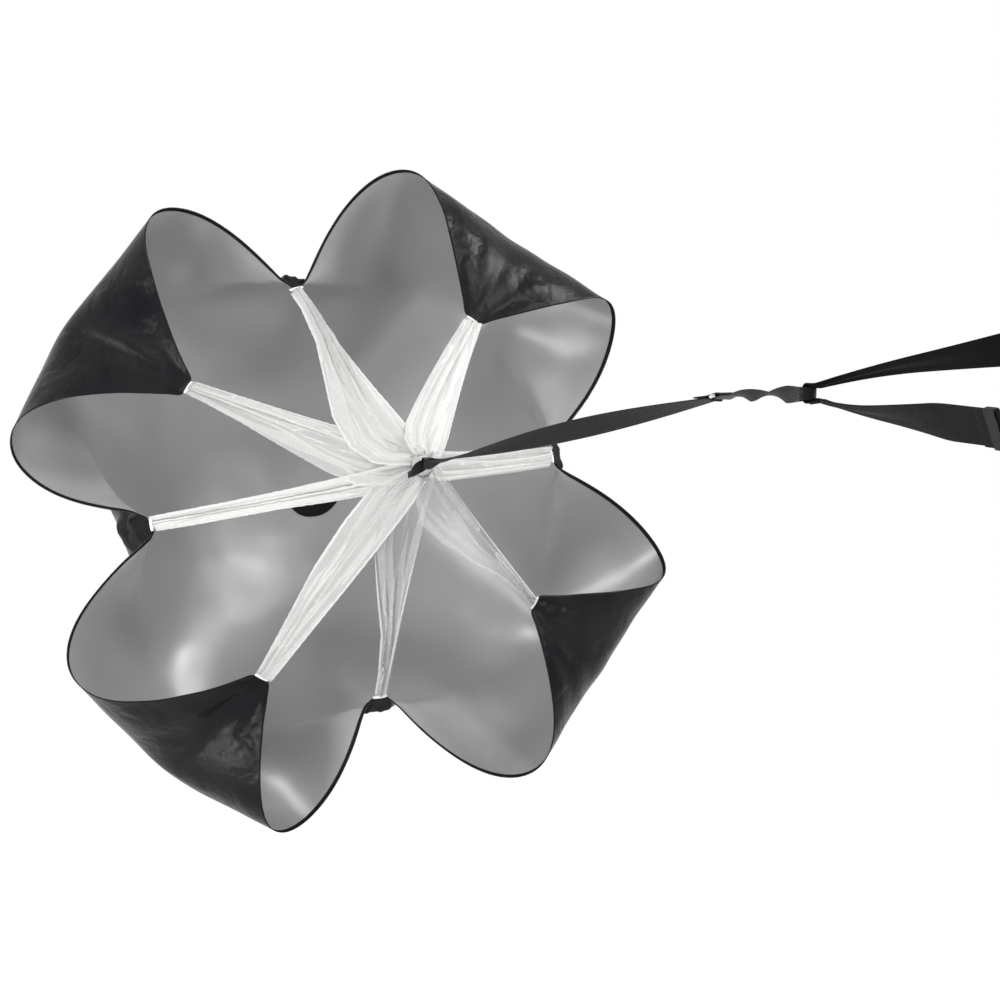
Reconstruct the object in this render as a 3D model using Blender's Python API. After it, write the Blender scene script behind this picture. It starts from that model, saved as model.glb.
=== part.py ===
"""Speed parachute for resistance running: a square sheet that opens into a canopy, eight mesh
bands, a tether, a ring, a leader and a waist belt with a side-release buckle.

Metres, Z up, as it flies behind a runner who runs towards +X. The origin is the middle of the
waist loop. The canopy is at -X.
"""

from math import atan, atan2, asin, cos, hypot, pi, radians, sin, sqrt

import bmesh
import bpy
from mathutils import Matrix, Vector

for old in list(bpy.data.objects):
    bpy.data.objects.remove(old, do_unlink=True)

# Sheet
SHEET_HALF = 0.675
SHEET_THICKNESS = 0.0012
LINE_ANGLES_DEG = (11.8, 56.0, 106.2, 148.2, 189.1, 243.3, 277.5, 330.0)
LINE_RADIUS_SHARES = (1.0, 1.04, 1.03, 0.945, 0.985, 0.985, 0.98, 1.03)
PATCH_THICKNESS = 0.001
MID_PATCH_GAP = 0.0027
CORNER_PATCH_GAP = 0.0004
PATCH_LEAN_SHARE = 0.3
POUCH_WIDTH = 0.1
POUCH_HEIGHT = 0.062
POUCH_THICKNESS = 0.0016

# The canopy's shape. Each row is a share of the sheet's half side, at the steps from the middle
# of the sheet (0) to its hem (1), for a fold that ends at a mid-edge line, a fold that ends at a
# corner line, and the lobe between them.
RING_SHARES = (0, 0.13, 0.28, 0.42, 0.55, 0.67, 0.78, 0.87, 0.94, 1)
MID_RADIUS_SHARES = (0, 0.14, 0.285, 0.355, 0.405, 0.443, 0.47, 0.495, 0.51, 0.5215)
MID_DEPTH_SHARES = (0.7, 0.692, 0.656, 0.563, 0.437, 0.329, 0.236, 0.141, 0.065, 0)
CORNER_RADIUS_SHARES = (0, 0.197, 0.4, 0.555, 0.708, 0.804, 0.79, 0.695, 0.6, 0.5215)
CORNER_DEPTH_SHARES = (0.7, 0.681, 0.61, 0.52, 0.4, 0.28, 0.173, 0.082, 0.037, 0)
LOBE_RADIUS_SHARES = (0, 0.148, 0.307, 0.44, 0.548, 0.641, 0.721, 0.791, 0.837, 0.8756)
LOBE_DEPTH_SHARES = (0.7, 0.69, 0.645, 0.565, 0.471, 0.384, 0.304, 0.236, 0.176, 0.124)
COLUMN_SHARES = (0, 0.06, 0.18, 0.34, 0.5, 0.66, 0.82, 0.94)
HEM_LEAN_SHARE = 0.045
LINE_RADIUS = SHEET_HALF * MID_RADIUS_SHARES[-1]

# Mesh bands and their end tabs. A band ends sewn round the gather, and there it is pleated to
# fit its eighth of the gather's edge.
BAND_THICKNESS = 0.0008
BAND_WIDTH = 0.062
BAND_STEP_SHARES = (0, 0.12, 0.3, 0.5, 0.66, 0.8, 0.92, 1)
BAND_WIDTH_SHARES = (0.32, 0.45, 0.68, 0.9, 1, 0.77, 0.42)
BAND_END_WIDTH_SHARE = 0.86
BAND_PLEAT = 0.0022
BAND_END_INSET = 0.0025
BAND_END_GAP = 0.0013
BAND_END_TURN_DEG = 12.8
TAB_WIDTH = 0.024
TAB_LENGTH = 0.007
TAB_THICKNESS = 0.003
TAB_GAP = 0.0012
SEAT_GAP = 0.0004

# Gather: the sewn ends of the bands, and the black strap folded over them
GATHER_REACH = 0.627
GATHER_BACK = 0.044
GATHER_WAIST = 0.036
GATHER_FRONT = 0.01
GATHER_ROUND = 0.043
GATHER_WIDTH = 0.035
GATHER_MID_HEIGHT = 0.03
GATHER_HEIGHT = 0.022
GATHER_STRAP = 0.025
GATHER_STRAP_THICKNESS = 0.0015
GATHER_LOOP_CLEAR = 0.00075
GATHER_LOOP_HALF = GATHER_WIDTH / 2 + GATHER_STRAP_THICKNESS / 2 + GATHER_LOOP_CLEAR
GATHER_LOOP_SHORT = 0.002
GATHER_LOOP_BEND = 0.008
BAND_END_RADIUS = GATHER_ROUND / 2 - BAND_END_INSET

# Tether, ring and leader. The tether's eye goes round the gather's strap, and the front of that
# strap stands off by half the eye's width, so that the eye can turn in it.
TETHER_LENGTH = 1.157
TETHER_YAW_DEG = 4.78
TETHER_PITCH_DEG = -1.09
TETHER_WIDTH = 0.025
TETHER_EYE_WIDTH = 0.012
TETHER_RING_WIDTH = 0.01
STRAP_THICKNESS = 0.0016
EYE_CLEAR = 0.0008
EYE_HEIGHT_HALF = GATHER_STRAP / 2 + STRAP_THICKNESS / 2 + EYE_CLEAR
EYE_SHOULDER = 0.01
EYE_NECK = 0.037
EYE_TAIL = 0.067
FOLD_CLEAR = 0.0008
FOLD_GAP = STRAP_THICKNESS + FOLD_CLEAR
FOLD_BEND = 0.004
LEADER_LENGTH = 0.227
LEADER_YAW_DEG = 4.84
LEADER_PITCH_DEG = -5.32
LEADER_WIDTH = 0.018
LEADER_MID_WIDTH = 0.012
RING_WIRE_RADIUS = 0.00175
RING_SIDE_CLEAR = 0.00125
RING_RADIUS = LEADER_WIDTH / 2 + RING_WIRE_RADIUS + RING_SIDE_CLEAR
RING_BAR_REACH = 0.004
RING_CORNER = 0.003
RING_HOOK_CLEAR = 0.00115
RING_HOOK_SHIFT = 0.0006
RING_HOOK_RADIUS = RING_WIRE_RADIUS + STRAP_THICKNESS / 2 + RING_HOOK_CLEAR
BAR_HOOK_CLEAR = 0.00035
BAR_HOOK_RADIUS = RING_WIRE_RADIUS + STRAP_THICKNESS / 2 + BAR_HOOK_CLEAR
HOOK_NECK = 0.016
HOOK_TAIL = 0.04
KNOT_CLEAR = 0.0014
KNOT_NECK = 0.026
KNOT_TAIL = 0.05

# Waist belt
KNOT_REACH = 0.345
YOKE_YAW_DEG = 32.0
YOKE_PITCH_DEG = -1.86
BELT_TILT_DEG = 28.0
BELT_WIDTH = 0.038
BELT_THICKNESS = 0.0018
BELT_HALF = 0.13
BELT_HIP_RADIUS = 0.07
BELT_FRONT = 0.095
BIGHT_WIDTH = 0.012
BIGHT_THICKNESS = 0.004
BIGHT_CLEAR = 0.005
BIGHT_HALF = LEADER_WIDTH / 2 + BIGHT_CLEAR
KNOT_LOOP_RADIUS = BIGHT_WIDTH / 2 + STRAP_THICKNESS / 2 + KNOT_CLEAR
BIGHT_BEND = 0.006
BIGHT_LEAD = 0.02
BIGHT_OPEN = 0.2
BIGHT_THIN = 0.05
TWIST_START = 0.13
BELT_FOLD_CLEAR = 0.0004
BELT_FOLD = BELT_THICKNESS + BELT_FOLD_CLEAR
BELT_SPLIT_GAP = 0.0004
TAIL_RUN = 0.085
SEWN_END = 0.07

# Buckle. Its own axes are X out from the body, Y towards the socket half, Z along the width.
# Its slots take the belt's width and its bars stand off by the belt's thickness.
SLOT_CLEAR = 0.0006
SLOT_HALF = BELT_WIDTH / 2 + SLOT_CLEAR
RECESS_EXTRA = 0.0002
RECESS_HALF = SLOT_HALF + RECESS_EXTRA
BUCKLE_WALL = 0.0044
BUCKLE_HALF = SLOT_HALF + BUCKLE_WALL
BUCKLE_ROUND = 0.0012
SOCKET_MOUTH = -0.002
SOCKET_END = 0.0345
SOCKET_THICK_HALF = 0.005
CAVITY_WALL = 0.0037
CAVITY_HALF = BUCKLE_HALF - CAVITY_WALL
CAVITY_THICK_HALF = 0.0028
CAVITY_END = 0.022
WINDOW_START = 0.0085
WINDOW_END = 0.018
SOCKET_SLOT_START = 0.0255
SOCKET_BAR_START = 0.0305
SOCKET_BAR_IN = 0.0042
SOCKET_BAR_OUT = 0.0023
UNDER_BAR_CLEAR = 0.0003
OVER_BAR_CLEAR = 0.0004
BUCKLE_STAND = SOCKET_BAR_IN + BELT_THICKNESS / 2 + UNDER_BAR_CLEAR
SOCKET_STRAP_SLOT = (SOCKET_SLOT_START + SOCKET_BAR_START) / 2
SOCKET_STRAP_OVER = SOCKET_BAR_OUT + BELT_THICKNESS / 2 + OVER_BAR_CLEAR
SOCKET_STRAP_TURN = 0.0368
SOCKET_STRAP_DOWN = 0.043
PLUG_STEP = 0.0005
PLUG_HALF = BUCKLE_HALF - PLUG_STEP
PLUG_THICK_HALF = 0.0035
PLUG_FRONT = -0.003
PLUG_BACK = -0.026
PLUG_SLOT_A = (-0.013, -0.008)
PLUG_SLOT_B = (-0.022, -0.017)
PLUG_BAR_HALF = 0.002
PLUG_BAR_CLEAR = 0.0005
PLUG_STRAP_UP = (PLUG_SLOT_A[0] + PLUG_SLOT_A[1]) / 2
PLUG_STRAP_OVER = PLUG_BAR_HALF + BELT_THICKNESS / 2 + PLUG_BAR_CLEAR
PLUG_STRAP_DOWN = (PLUG_SLOT_B[0] + PLUG_SLOT_B[1]) / 2
PRONG_HALF = 0.0032
PRONG_CLEAR = 0.0006
PRONG_THICK_HALF = CAVITY_THICK_HALF - PRONG_CLEAR
PRONG_END = 0.019
ARM_WIDTH = 0.004
ARM_CLEAR = 0.0033
ARM_OUT = CAVITY_HALF - ARM_CLEAR
ARM_IN = ARM_OUT - ARM_WIDTH
ARM_AXIS = (ARM_IN + ARM_OUT) / 2
ARM_BACK = -0.0024
ARM_HEAD_BACK = 0.0092
ARM_HEAD_SHORT = 0.0014
ARM_HEAD_OUT = BUCKLE_HALF - ARM_HEAD_SHORT
ARM_HEAD_FLAT = 0.0105
ARM_NOSE = 0.0175
ARM_NOSE_ROUND = 0.0015
ARM_NOSE_OUT = ARM_OUT - ARM_NOSE_ROUND
ARM_NOSE_IN = 0.0155
BUTTON_ROUND = 0.0005

# Keeper: the elastic loop that holds the free end of the belt
KEEPER_AT = 0.055
KEEPER_LENGTH = 0.016
KEEPER_THICKNESS = 0.0012
KEEPER_CLEAR = 0.0004
KEEPER_ROUND = 0.0014

# Colours
BLACK_SHEET = (0.02, 0.02, 0.022)
BLACK_WEB = (0.012, 0.012, 0.013)
BLACK_PLASTIC = (0.015, 0.015, 0.016)
WHITE_MESH = (0.82, 0.82, 0.8)
WHITE_TAB = (0.88, 0.88, 0.86)
STEEL = (0.6, 0.6, 0.58)

BEND_STEPS = 5
HOOK_STEPS = 12
SHARP_DEG = 40


def material(name, colour, roughness, metallic=0):
    made = bpy.data.materials.new(name)
    made.use_nodes = True
    shader = made.node_tree.nodes["Principled BSDF"]
    shader.inputs["Base Color"].default_value = (*colour, 1)
    shader.inputs["Roughness"].default_value = roughness
    shader.inputs["Metallic"].default_value = metallic
    return made


def add_object(name, mesh, origin, look):
    """An object whose mesh is given in world places, moved so that its origin is at a point."""
    mesh.transform(Matrix.Translation(-Vector(origin)))
    mesh.shade_smooth()
    mesh.set_sharp_from_angle(angle=radians(SHARP_DEG))
    mesh.materials.append(look)
    made = bpy.data.objects.new(name, mesh)
    made.location = origin
    bpy.context.scene.collection.objects.link(made)
    return made


def heading(yaw_deg, pitch_deg):
    yaw = radians(yaw_deg)
    pitch = radians(pitch_deg)
    return Vector((cos(pitch) * cos(yaw), cos(pitch) * sin(yaw), sin(pitch)))


def mix(start, end, share):
    return start + (end - start) * share


def stepped(shares, values, share):
    """The value at a share, on straight lines between the listed ones."""
    for k in range(len(shares) - 1):
        if share <= shares[k + 1]:
            return mix(values[k], values[k + 1], (share - shares[k]) / (shares[k + 1] - shares[k]))
    return values[-1]


def rounded(points, bend, steps=BEND_STEPS):
    """The line through the points, with each corner drawn as a smooth bend."""
    path = [Vector(points[0])]
    for k in range(1, len(points) - 1):
        here = Vector(points[k])
        back = Vector(points[k - 1]) - here
        ahead = Vector(points[k + 1]) - here
        cut = min(bend, back.length / 2, ahead.length / 2)
        start = here + back.normalized() * cut
        end = here + ahead.normalized() * cut
        for step in range(steps + 1):
            share = step / steps
            path.append(start * (1 - share) ** 2 + here * 2 * share * (1 - share) + end * share**2)
    path.append(Vector(points[-1]))
    clean = [path[0]]
    for point in path[1:]:
        if (point - clean[-1]).length > bend / 1000:
            clean.append(point)
    return clean


def flat_outline(width, thickness):
    return [
        (-width / 2, -thickness / 2),
        (width / 2, -thickness / 2),
        (width / 2, thickness / 2),
        (-width / 2, thickness / 2),
    ]


def round_outline(width, thickness, sides):
    return [
        (cos(2 * pi * k / sides) * width / 2, sin(2 * pi * k / sides) * thickness / 2)
        for k in range(sides)
    ]


def sweep(name, path, sides, outlines, origin, look, closed=False):
    """A closed solid along a path. Each outline is drawn across the path from its side vector."""
    mesh = bpy.data.meshes.new(name)
    bm = bmesh.new()
    rows = []
    count = len(path)
    for k in range(count):
        if closed:
            along = path[(k + 1) % count] - path[k - 1]
        else:
            along = path[min(k + 1, count - 1)] - path[max(k - 1, 0)]
        along.normalize()
        side = Vector(sides[k])
        side = (side - along * side.dot(along)).normalized()
        normal = along.cross(side)
        rows.append([bm.verts.new(path[k] + side * a + normal * b) for a, b in outlines[k]])
    around = len(rows[0])
    for k in range(count if closed else count - 1):
        here = rows[k]
        there = rows[(k + 1) % count]
        for j in range(around):
            nxt = (j + 1) % around
            bm.faces.new((here[j], here[nxt], there[nxt], there[j]))
    if not closed:
        bm.faces.new(list(reversed(rows[0])))
        bm.faces.new(rows[-1])
    bmesh.ops.recalc_face_normals(bm, faces=bm.faces)
    bm.to_mesh(mesh)
    bm.free()
    return add_object(name, mesh, origin, look)


def skin(name, points, faces, thickness, origin, look):
    """A thin closed solid on a surface given by its points and triangles."""
    mesh = bpy.data.meshes.new(name)
    mesh.from_pydata(points, [], faces)
    mesh.update()
    made = add_object(name, mesh, origin, look)
    wall = made.modifiers.new("Wall", "SOLIDIFY")
    wall.thickness = thickness
    wall.offset = 0
    wall.use_rim = True
    return made


def box_mesh(name, low, high, frame):
    """A box between two corners, given in a frame and drawn in world places."""
    mesh = bpy.data.meshes.new(name)
    bm = bmesh.new()
    bmesh.ops.create_cube(bm, size=1)
    for vert in bm.verts:
        for axis in range(3):
            vert.co[axis] = mix(low[axis], high[axis], vert.co[axis] + 0.5)
        vert.co = frame @ vert.co
    bmesh.ops.recalc_face_normals(bm, faces=bm.faces)
    bm.to_mesh(mesh)
    bm.free()
    return mesh


def bevelled(made, size, segments=2):
    edge = made.modifiers.new("Edge", "BEVEL")
    edge.width = size
    edge.segments = segments
    edge.limit_method = "ANGLE"
    edge.angle_limit = radians(35)


def cutter(name, low, high, frame, origin):
    made = add_object(name, box_mesh(name, low, high, frame), origin, CUTTER_LOOK)
    made.hide_render = True
    made.display_type = "WIRE"
    return made


def joined(made, other, operation):
    step = made.modifiers.new(other.name, "BOOLEAN")
    step.operation = operation
    step.object = other
    step.solver = "EXACT"


SHEET_LOOK = material("sheet_nylon", BLACK_SHEET, 0.35)
PATCH_LOOK = material("patch_fabric", BLACK_WEB, 0.6)
POUCH_LOOK = material("pouch_fabric", BLACK_WEB, 0.7)
MESH_LOOK = material("band_mesh", WHITE_MESH, 0.75)
TAB_LOOK = material("tab_webbing", WHITE_TAB, 0.7)
GATHER_LOOK = material("gather_mesh", WHITE_MESH, 0.8)
STRAP_LOOK = material("strap_webbing", BLACK_WEB, 0.65)
BELT_LOOK = material("belt_webbing", BLACK_WEB, 0.6)
RING_LOOK = material("ring_steel", STEEL, 0.3, 1)
BUCKLE_LOOK = material("buckle_acetal", BLACK_PLASTIC, 0.4)
KEEPER_LOOK = material("keeper_elastic", BLACK_WEB, 0.8)
CUTTER_LOOK = material("cutter", BLACK_WEB, 1)

# Places along the tow line
UP = Vector((0, 0, 1))
OUT = heading(YOKE_YAW_DEG, YOKE_PITCH_DEG)
LEVEL = UP.cross(OUT).normalized()
RISE = OUT.cross(LEVEL)
TILT = radians(BELT_TILT_DEG)
ACROSS = LEVEL * cos(TILT) + RISE * sin(TILT)
TALL = OUT.cross(ACROSS)
KNOT = -OUT * KNOT_REACH
LEADER_WAY = heading(LEADER_YAW_DEG, LEADER_PITCH_DEG)
LEADER_LEVEL = heading(LEADER_YAW_DEG, 0)
RING = KNOT - LEADER_WAY * LEADER_LENGTH
TETHER_WAY = heading(TETHER_YAW_DEG, TETHER_PITCH_DEG)
GATHER = RING - TETHER_WAY * TETHER_LENGTH
MOUTH = GATHER - Vector((GATHER_REACH, 0, 0))

# Canopy: one square sheet, black outside and grey inside, hemmed. Its points run in rings from
# the middle to the hem and in columns from line to line.
LINES = len(LINE_ANGLES_DEG)
COLUMNS = LINES * len(COLUMN_SHARES)


def canopy_point(ring, column):
    octant, step = divmod(column, len(COLUMN_SHARES))
    part_way = COLUMN_SHARES[step]
    following = (octant + 1) % LINES
    start_deg = LINE_ANGLES_DEG[octant]
    end_deg = LINE_ANGLES_DEG[following] + (360 if following == 0 else 0)
    if octant % 2:
        part_way = 1 - part_way
    to_corner = part_way
    hem = RING_SHARES[ring]
    turned = mix(atan(to_corner) / (pi / 4), to_corner, hem**2)
    along = turned if octant % 2 == 0 else 1 - turned
    angle = radians(mix(start_deg, end_deg, along))
    reach = mix(LINE_RADIUS_SHARES[octant], LINE_RADIUS_SHARES[following], along)
    eased = mix(to_corner, to_corner**2 * (3 - 2 * to_corner), 0.5)
    bulge = sin(pi * to_corner) ** mix(2, 1.25, hem**6)
    radius = mix(MID_RADIUS_SHARES[ring], CORNER_RADIUS_SHARES[ring], eased)
    half_way = (MID_RADIUS_SHARES[ring] + CORNER_RADIUS_SHARES[ring]) / 2
    radius += (LOBE_RADIUS_SHARES[ring] - half_way) * bulge
    radius *= SHEET_HALF * mix(1, reach, hem**2)
    depth = mix(MID_DEPTH_SHARES[ring], CORNER_DEPTH_SHARES[ring], eased)
    half_way = (MID_DEPTH_SHARES[ring] + CORNER_DEPTH_SHARES[ring]) / 2
    depth += (LOBE_DEPTH_SHARES[ring] - half_way) * bulge
    depth += HEM_LEAN_SHARE * sin(2 * pi * to_corner) * hem**8
    depth *= SHEET_HALF
    return MOUTH + Vector((-depth, radius * cos(angle), radius * sin(angle)))


grid = []
for ring in range(1, len(RING_SHARES)):
    grid.append([canopy_point(ring, column) for column in range(COLUMNS)])
apex = MOUTH - Vector((MID_DEPTH_SHARES[0] * SHEET_HALF, 0, 0))
points = [apex]
for row in grid:
    points.extend(row)


def at(ring, column):
    return 1 + (ring - 1) * COLUMNS + column % COLUMNS


faces = []
for column in range(COLUMNS):
    faces.append((0, at(1, column + 1), at(1, column)))
    for ring in range(1, len(RING_SHARES) - 1):
        faces.append((at(ring, column), at(ring, column + 1), at(ring + 1, column + 1)))
        faces.append((at(ring, column), at(ring + 1, column + 1), at(ring + 1, column)))
skin("canopy", points, faces, SHEET_THICKNESS, GATHER, SHEET_LOOK)


def face_normal(face):
    """Out from the black side."""
    a, b, c = (points[k] for k in face)
    return (c - a).cross(b - a).normalized()


OUTSIDE = -1 if face_normal(faces[0]).x > 0 else 1

# Reinforcing patches: a mid-edge patch is sewn to the outside of the sheet, a corner patch to
# its inside, where the band's tab is sewn through.
LAST = len(RING_SHARES) - 1
for line in range(LINES):
    centre = line * len(COLUMN_SHARES)
    face_out = 1 if line % 2 == 0 else -1
    stand = MID_PATCH_GAP if line % 2 == 0 else CORNER_PATCH_GAP
    stand += (SHEET_THICKNESS + PATCH_THICKNESS) / 2
    kept = [at(LAST - 1, centre - 1), at(LAST - 1, centre), at(LAST - 1, centre + 1)]
    kept += [at(LAST, centre - 1), at(LAST, centre), at(LAST, centre + 1)]
    place = {index: k for k, index in enumerate(kept)}
    sewn_faces = [face for face in faces if all(k in place for k in face)]
    patch_points = []
    for k in kept:
        around = [face_normal(face) * OUTSIDE * face_out for face in sewn_faces if k in face]
        middle = sum(around, Vector((0, 0, 0))).normalized()
        lean = min(middle.dot(normal) for normal in around)
        patch_points.append(points[k] + middle * stand / max(lean, PATCH_LEAN_SHARE))
    patch_faces = [tuple(place[k] for k in face) for face in sewn_faces]
    kind = "mid_edge" if line % 2 == 0 else "corner"
    skin(f"{kind}_patch_{line + 1}", patch_points, patch_faces, PATCH_THICKNESS, GATHER, PATCH_LOOK)

# Pouch: the flat black pocket sewn to the inside of the sheet at its middle.
pouch_points = [apex]
for column in range(COLUMNS):
    way = grid[0][column] - apex
    angle = atan2(way.z, way.y)
    reach = POUCH_WIDTH * POUCH_HEIGHT / 2
    reach /= max(POUCH_HEIGHT * abs(cos(angle)), POUCH_WIDTH * abs(sin(angle)))
    pouch_points.append(apex + way * (reach / hypot(way.y, way.z)))
pouch_faces = [(0, 1 + (k + 1) % COLUMNS, 1 + k) for k in range(COLUMNS)]
pouch_stand = Vector((SHEET_THICKNESS / 2 + CORNER_PATCH_GAP + POUCH_THICKNESS / 2, 0, 0))
pouch_points = [point + pouch_stand for point in pouch_points]
skin("centre_pouch", pouch_points, pouch_faces, POUCH_THICKNESS, GATHER, POUCH_LOOK)

# Eight mesh bands, pleated lengthways, each sewn to a tab at the hem and gathered in front.
for line in range(LINES):
    angle = radians(LINE_ANGLES_DEG[line])
    spoke = Vector((0, cos(angle), sin(angle)))
    tangent = Vector((0, -sin(angle), cos(angle)))
    start = MOUTH + spoke * LINE_RADIUS * LINE_RADIUS_SHARES[line]
    end_angle = radians(BAND_END_TURN_DEG + 360 * line / LINES)
    end_spoke = Vector((0, cos(end_angle), sin(end_angle)))
    end_tangent = Vector((0, -sin(end_angle), cos(end_angle)))
    end = GATHER - Vector((GATHER_BACK + BAND_END_GAP, 0, 0)) + end_spoke * BAND_END_RADIUS
    way = (end - start).normalized()
    tab_path = [start + way * TAB_GAP, start + way * (TAB_GAP + TAB_LENGTH)]
    tab_outline = round_outline(TAB_WIDTH, TAB_THICKNESS, 12)
    sweep(f"band_tab_{line + 1}", tab_path, [tangent] * 2, [tab_outline] * 2, GATHER, TAB_LOOK)
    first = start + way * (TAB_GAP + TAB_LENGTH + SEAT_GAP)
    eighth = 2 * BAND_END_RADIUS * sin(pi / LINES)
    widths = [BAND_WIDTH * share for share in BAND_WIDTH_SHARES] + [eighth * BAND_END_WIDTH_SHARE]
    path = []
    sides = []
    outlines = []
    for share, width in zip(BAND_STEP_SHARES, widths):
        path.append(mix(first, end, share))
        sides.append(mix(tangent, end_tangent, share))
        pleat = min(BAND_PLEAT, width / 8)
        top = []
        for k in range(5):
            fold = (-1) ** k * pleat
            top.append((width * (k / 4 - 0.5), fold))
        outline = [(a, b - BAND_THICKNESS / 2) for a, b in top]
        outline += [(a, b + BAND_THICKNESS / 2) for a, b in reversed(top)]
        outlines.append(outline)
    sweep(f"mesh_band_{line + 1}", path, sides, outlines, GATHER, MESH_LOOK)

# Gather: the eight band ends sewn into one bundle, and the black strap folded over it. The fold
# leaves an eye in front of the bundle, where the tether's loop passes.
gather_path = []
for reach in (GATHER_BACK, GATHER_WAIST, GATHER_FRONT):
    gather_path.append(GATHER - Vector((reach, 0, 0)))
gather_outlines = [
    round_outline(GATHER_ROUND, GATHER_ROUND, 16),
    round_outline(GATHER_WIDTH, GATHER_MID_HEIGHT, 16),
    round_outline(GATHER_WIDTH, GATHER_HEIGHT, 16),
]
sweep("band_gather", gather_path, [Vector((0, 1, 0))] * 3, gather_outlines, GATHER, GATHER_LOOK)

loop_back = GATHER_WAIST - GATHER_LOOP_SHORT
loop_path = [GATHER + Vector((-loop_back, GATHER_LOOP_HALF, 0))]
for k in range(HOOK_STEPS + 1):
    turn = pi / 2 - pi * k / HOOK_STEPS
    ahead = (TETHER_EYE_WIDTH / 2 + GATHER_LOOP_BEND) * cos(turn) - GATHER_LOOP_BEND
    loop_path.append(GATHER + Vector((ahead, GATHER_LOOP_HALF * sin(turn), 0)))
loop_path.append(GATHER + Vector((-loop_back, -GATHER_LOOP_HALF, 0)))
loop_outlines = [flat_outline(GATHER_STRAP, GATHER_STRAP_THICKNESS)] * len(loop_path)
sweep("gather_loop", loop_path, [UP] * len(loop_path), loop_outlines, GATHER, STRAP_LOOK)


def hook(radius, neck, tail, gap):
    """A strap's end turned round a bar at the origin: along, across. It starts on the strap."""
    turned = [(neck, 0)]
    for k in range(HOOK_STEPS + 1):
        turn = -radians(75) - radians(210) * k / HOOK_STEPS
        turned.append((radius * cos(turn), radius * sin(turn)))
    return turned + [(neck, gap), (tail, gap)]


# Tether: one webbing strap. Its canopy end is a tall loop through the gather loop, its other
# end a small loop round the ring. Both ends are folded back and sewn flat.
TETHER_SIDE = UP.cross(TETHER_WAY).normalized()
TETHER_RISE = TETHER_WAY.cross(TETHER_SIDE)
eye = [
    (EYE_TAIL, FOLD_GAP),
    (EYE_NECK, FOLD_GAP),
    (EYE_SHOULDER, EYE_HEIGHT_HALF),
    (0, EYE_HEIGHT_HALF),
    (0, -EYE_HEIGHT_HALF),
    (EYE_SHOULDER, -EYE_HEIGHT_HALF),
    (EYE_NECK, 0),
    (EYE_TAIL, 0),
]
eye_path = [GATHER + TETHER_WAY * a + TETHER_RISE * b for a, b in eye]
eye_path = rounded(eye_path, FOLD_BEND)
ring_hook = hook(RING_HOOK_RADIUS, HOOK_NECK, HOOK_TAIL, FOLD_GAP)
hook_at = RING - TETHER_WAY * (RING_RADIUS - RING_HOOK_SHIFT)
hook_path = [hook_at - TETHER_WAY * a + TETHER_RISE * b for a, b in ring_hook]
main_start = eye_path[-1]
main_end = hook_at - TETHER_WAY * HOOK_TAIL
TETHER_STEPS = 24
path = list(eye_path)
turns = [0.0] * len(path)
widths = []
for point in eye_path:
    ahead = (point - GATHER).dot(TETHER_WAY)
    opening = stepped((0, EYE_SHOULDER, EYE_NECK), (TETHER_EYE_WIDTH, TETHER_EYE_WIDTH, TETHER_WIDTH), ahead)
    widths.append(opening)
for k in range(1, TETHER_STEPS + 1):
    share = k / TETHER_STEPS
    path.append(mix(main_start, main_end, share))
    turns.append(pi * share)
    widths.append(TETHER_WIDTH)
for point in hook_path:
    path.append(point)
    turns.append(pi)
    back = max((hook_at - point).dot(TETHER_WAY), 0)
    narrowed = (TETHER_RING_WIDTH, TETHER_RING_WIDTH, TETHER_WIDTH)
    widths.append(stepped((0, HOOK_NECK / 2, HOOK_TAIL), narrowed, back))
sides = [TETHER_SIDE * cos(turn) + TETHER_RISE * sin(turn) for turn in turns]
outlines = [flat_outline(width, STRAP_THICKNESS) for width in widths]
sweep("tether_strap", path, sides, outlines, RING, STRAP_LOOK)

# Ring: a steel D, lying level. The tether pulls on its bow, the leader holds its bar.
RING_SIDE = UP.cross(LEADER_LEVEL).normalized()
bow = [(0, RING_RADIUS)]
for k in range(1, 24):
    turn = pi / 2 + pi * k / 24
    bow.append((RING_RADIUS * cos(turn), RING_RADIUS * sin(turn)))
bow.append((0, -RING_RADIUS))
bar = [
    (0, -RING_RADIUS, 0),
    (RING_BAR_REACH, -RING_RADIUS, 0),
    (RING_BAR_REACH, RING_RADIUS, 0),
    (0, RING_RADIUS, 0),
]
ring_plan = bow + [(p.x, p.y) for p in rounded(bar, RING_CORNER)[1:-1]]
ring_path = [RING + LEADER_LEVEL * a + RING_SIDE * b for a, b in ring_plan]
ring_outlines = [round_outline(2 * RING_WIRE_RADIUS, 2 * RING_WIRE_RADIUS, 8)] * len(ring_path)
sweep("d_ring", ring_path, [UP] * len(ring_path), ring_outlines, KNOT, RING_LOOK, closed=True)

# Leader: a short strap from the ring's bar to the loop that the waist belt passes through.
LEADER_SIDE = UP.cross(LEADER_WAY).normalized()
LEADER_RISE = LEADER_WAY.cross(LEADER_SIDE)
bar_at = RING + LEADER_LEVEL * RING_BAR_REACH
bar_hook = hook(BAR_HOOK_RADIUS, HOOK_NECK, HOOK_TAIL, FOLD_GAP)
path = [bar_at + LEADER_WAY * a + LEADER_RISE * b for a, b in reversed(bar_hook)]
turns = [0.0] * len(path)
widths = [LEADER_WIDTH] * len(path)
LEADER_STEPS = 18
main_start = bar_at + LEADER_WAY * HOOK_TAIL
main_end = KNOT - LEADER_WAY * KNOT_TAIL
for k in range(LEADER_STEPS + 1):
    share = k / LEADER_STEPS
    path.append(mix(main_start, main_end, share))
    turns.append(-1.5 * pi * share)
    widths.append(mix(LEADER_WIDTH, LEADER_MID_WIDTH, sin(pi * share)))
knot_hook = hook(KNOT_LOOP_RADIUS, KNOT_NECK, KNOT_TAIL, FOLD_GAP)
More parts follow.
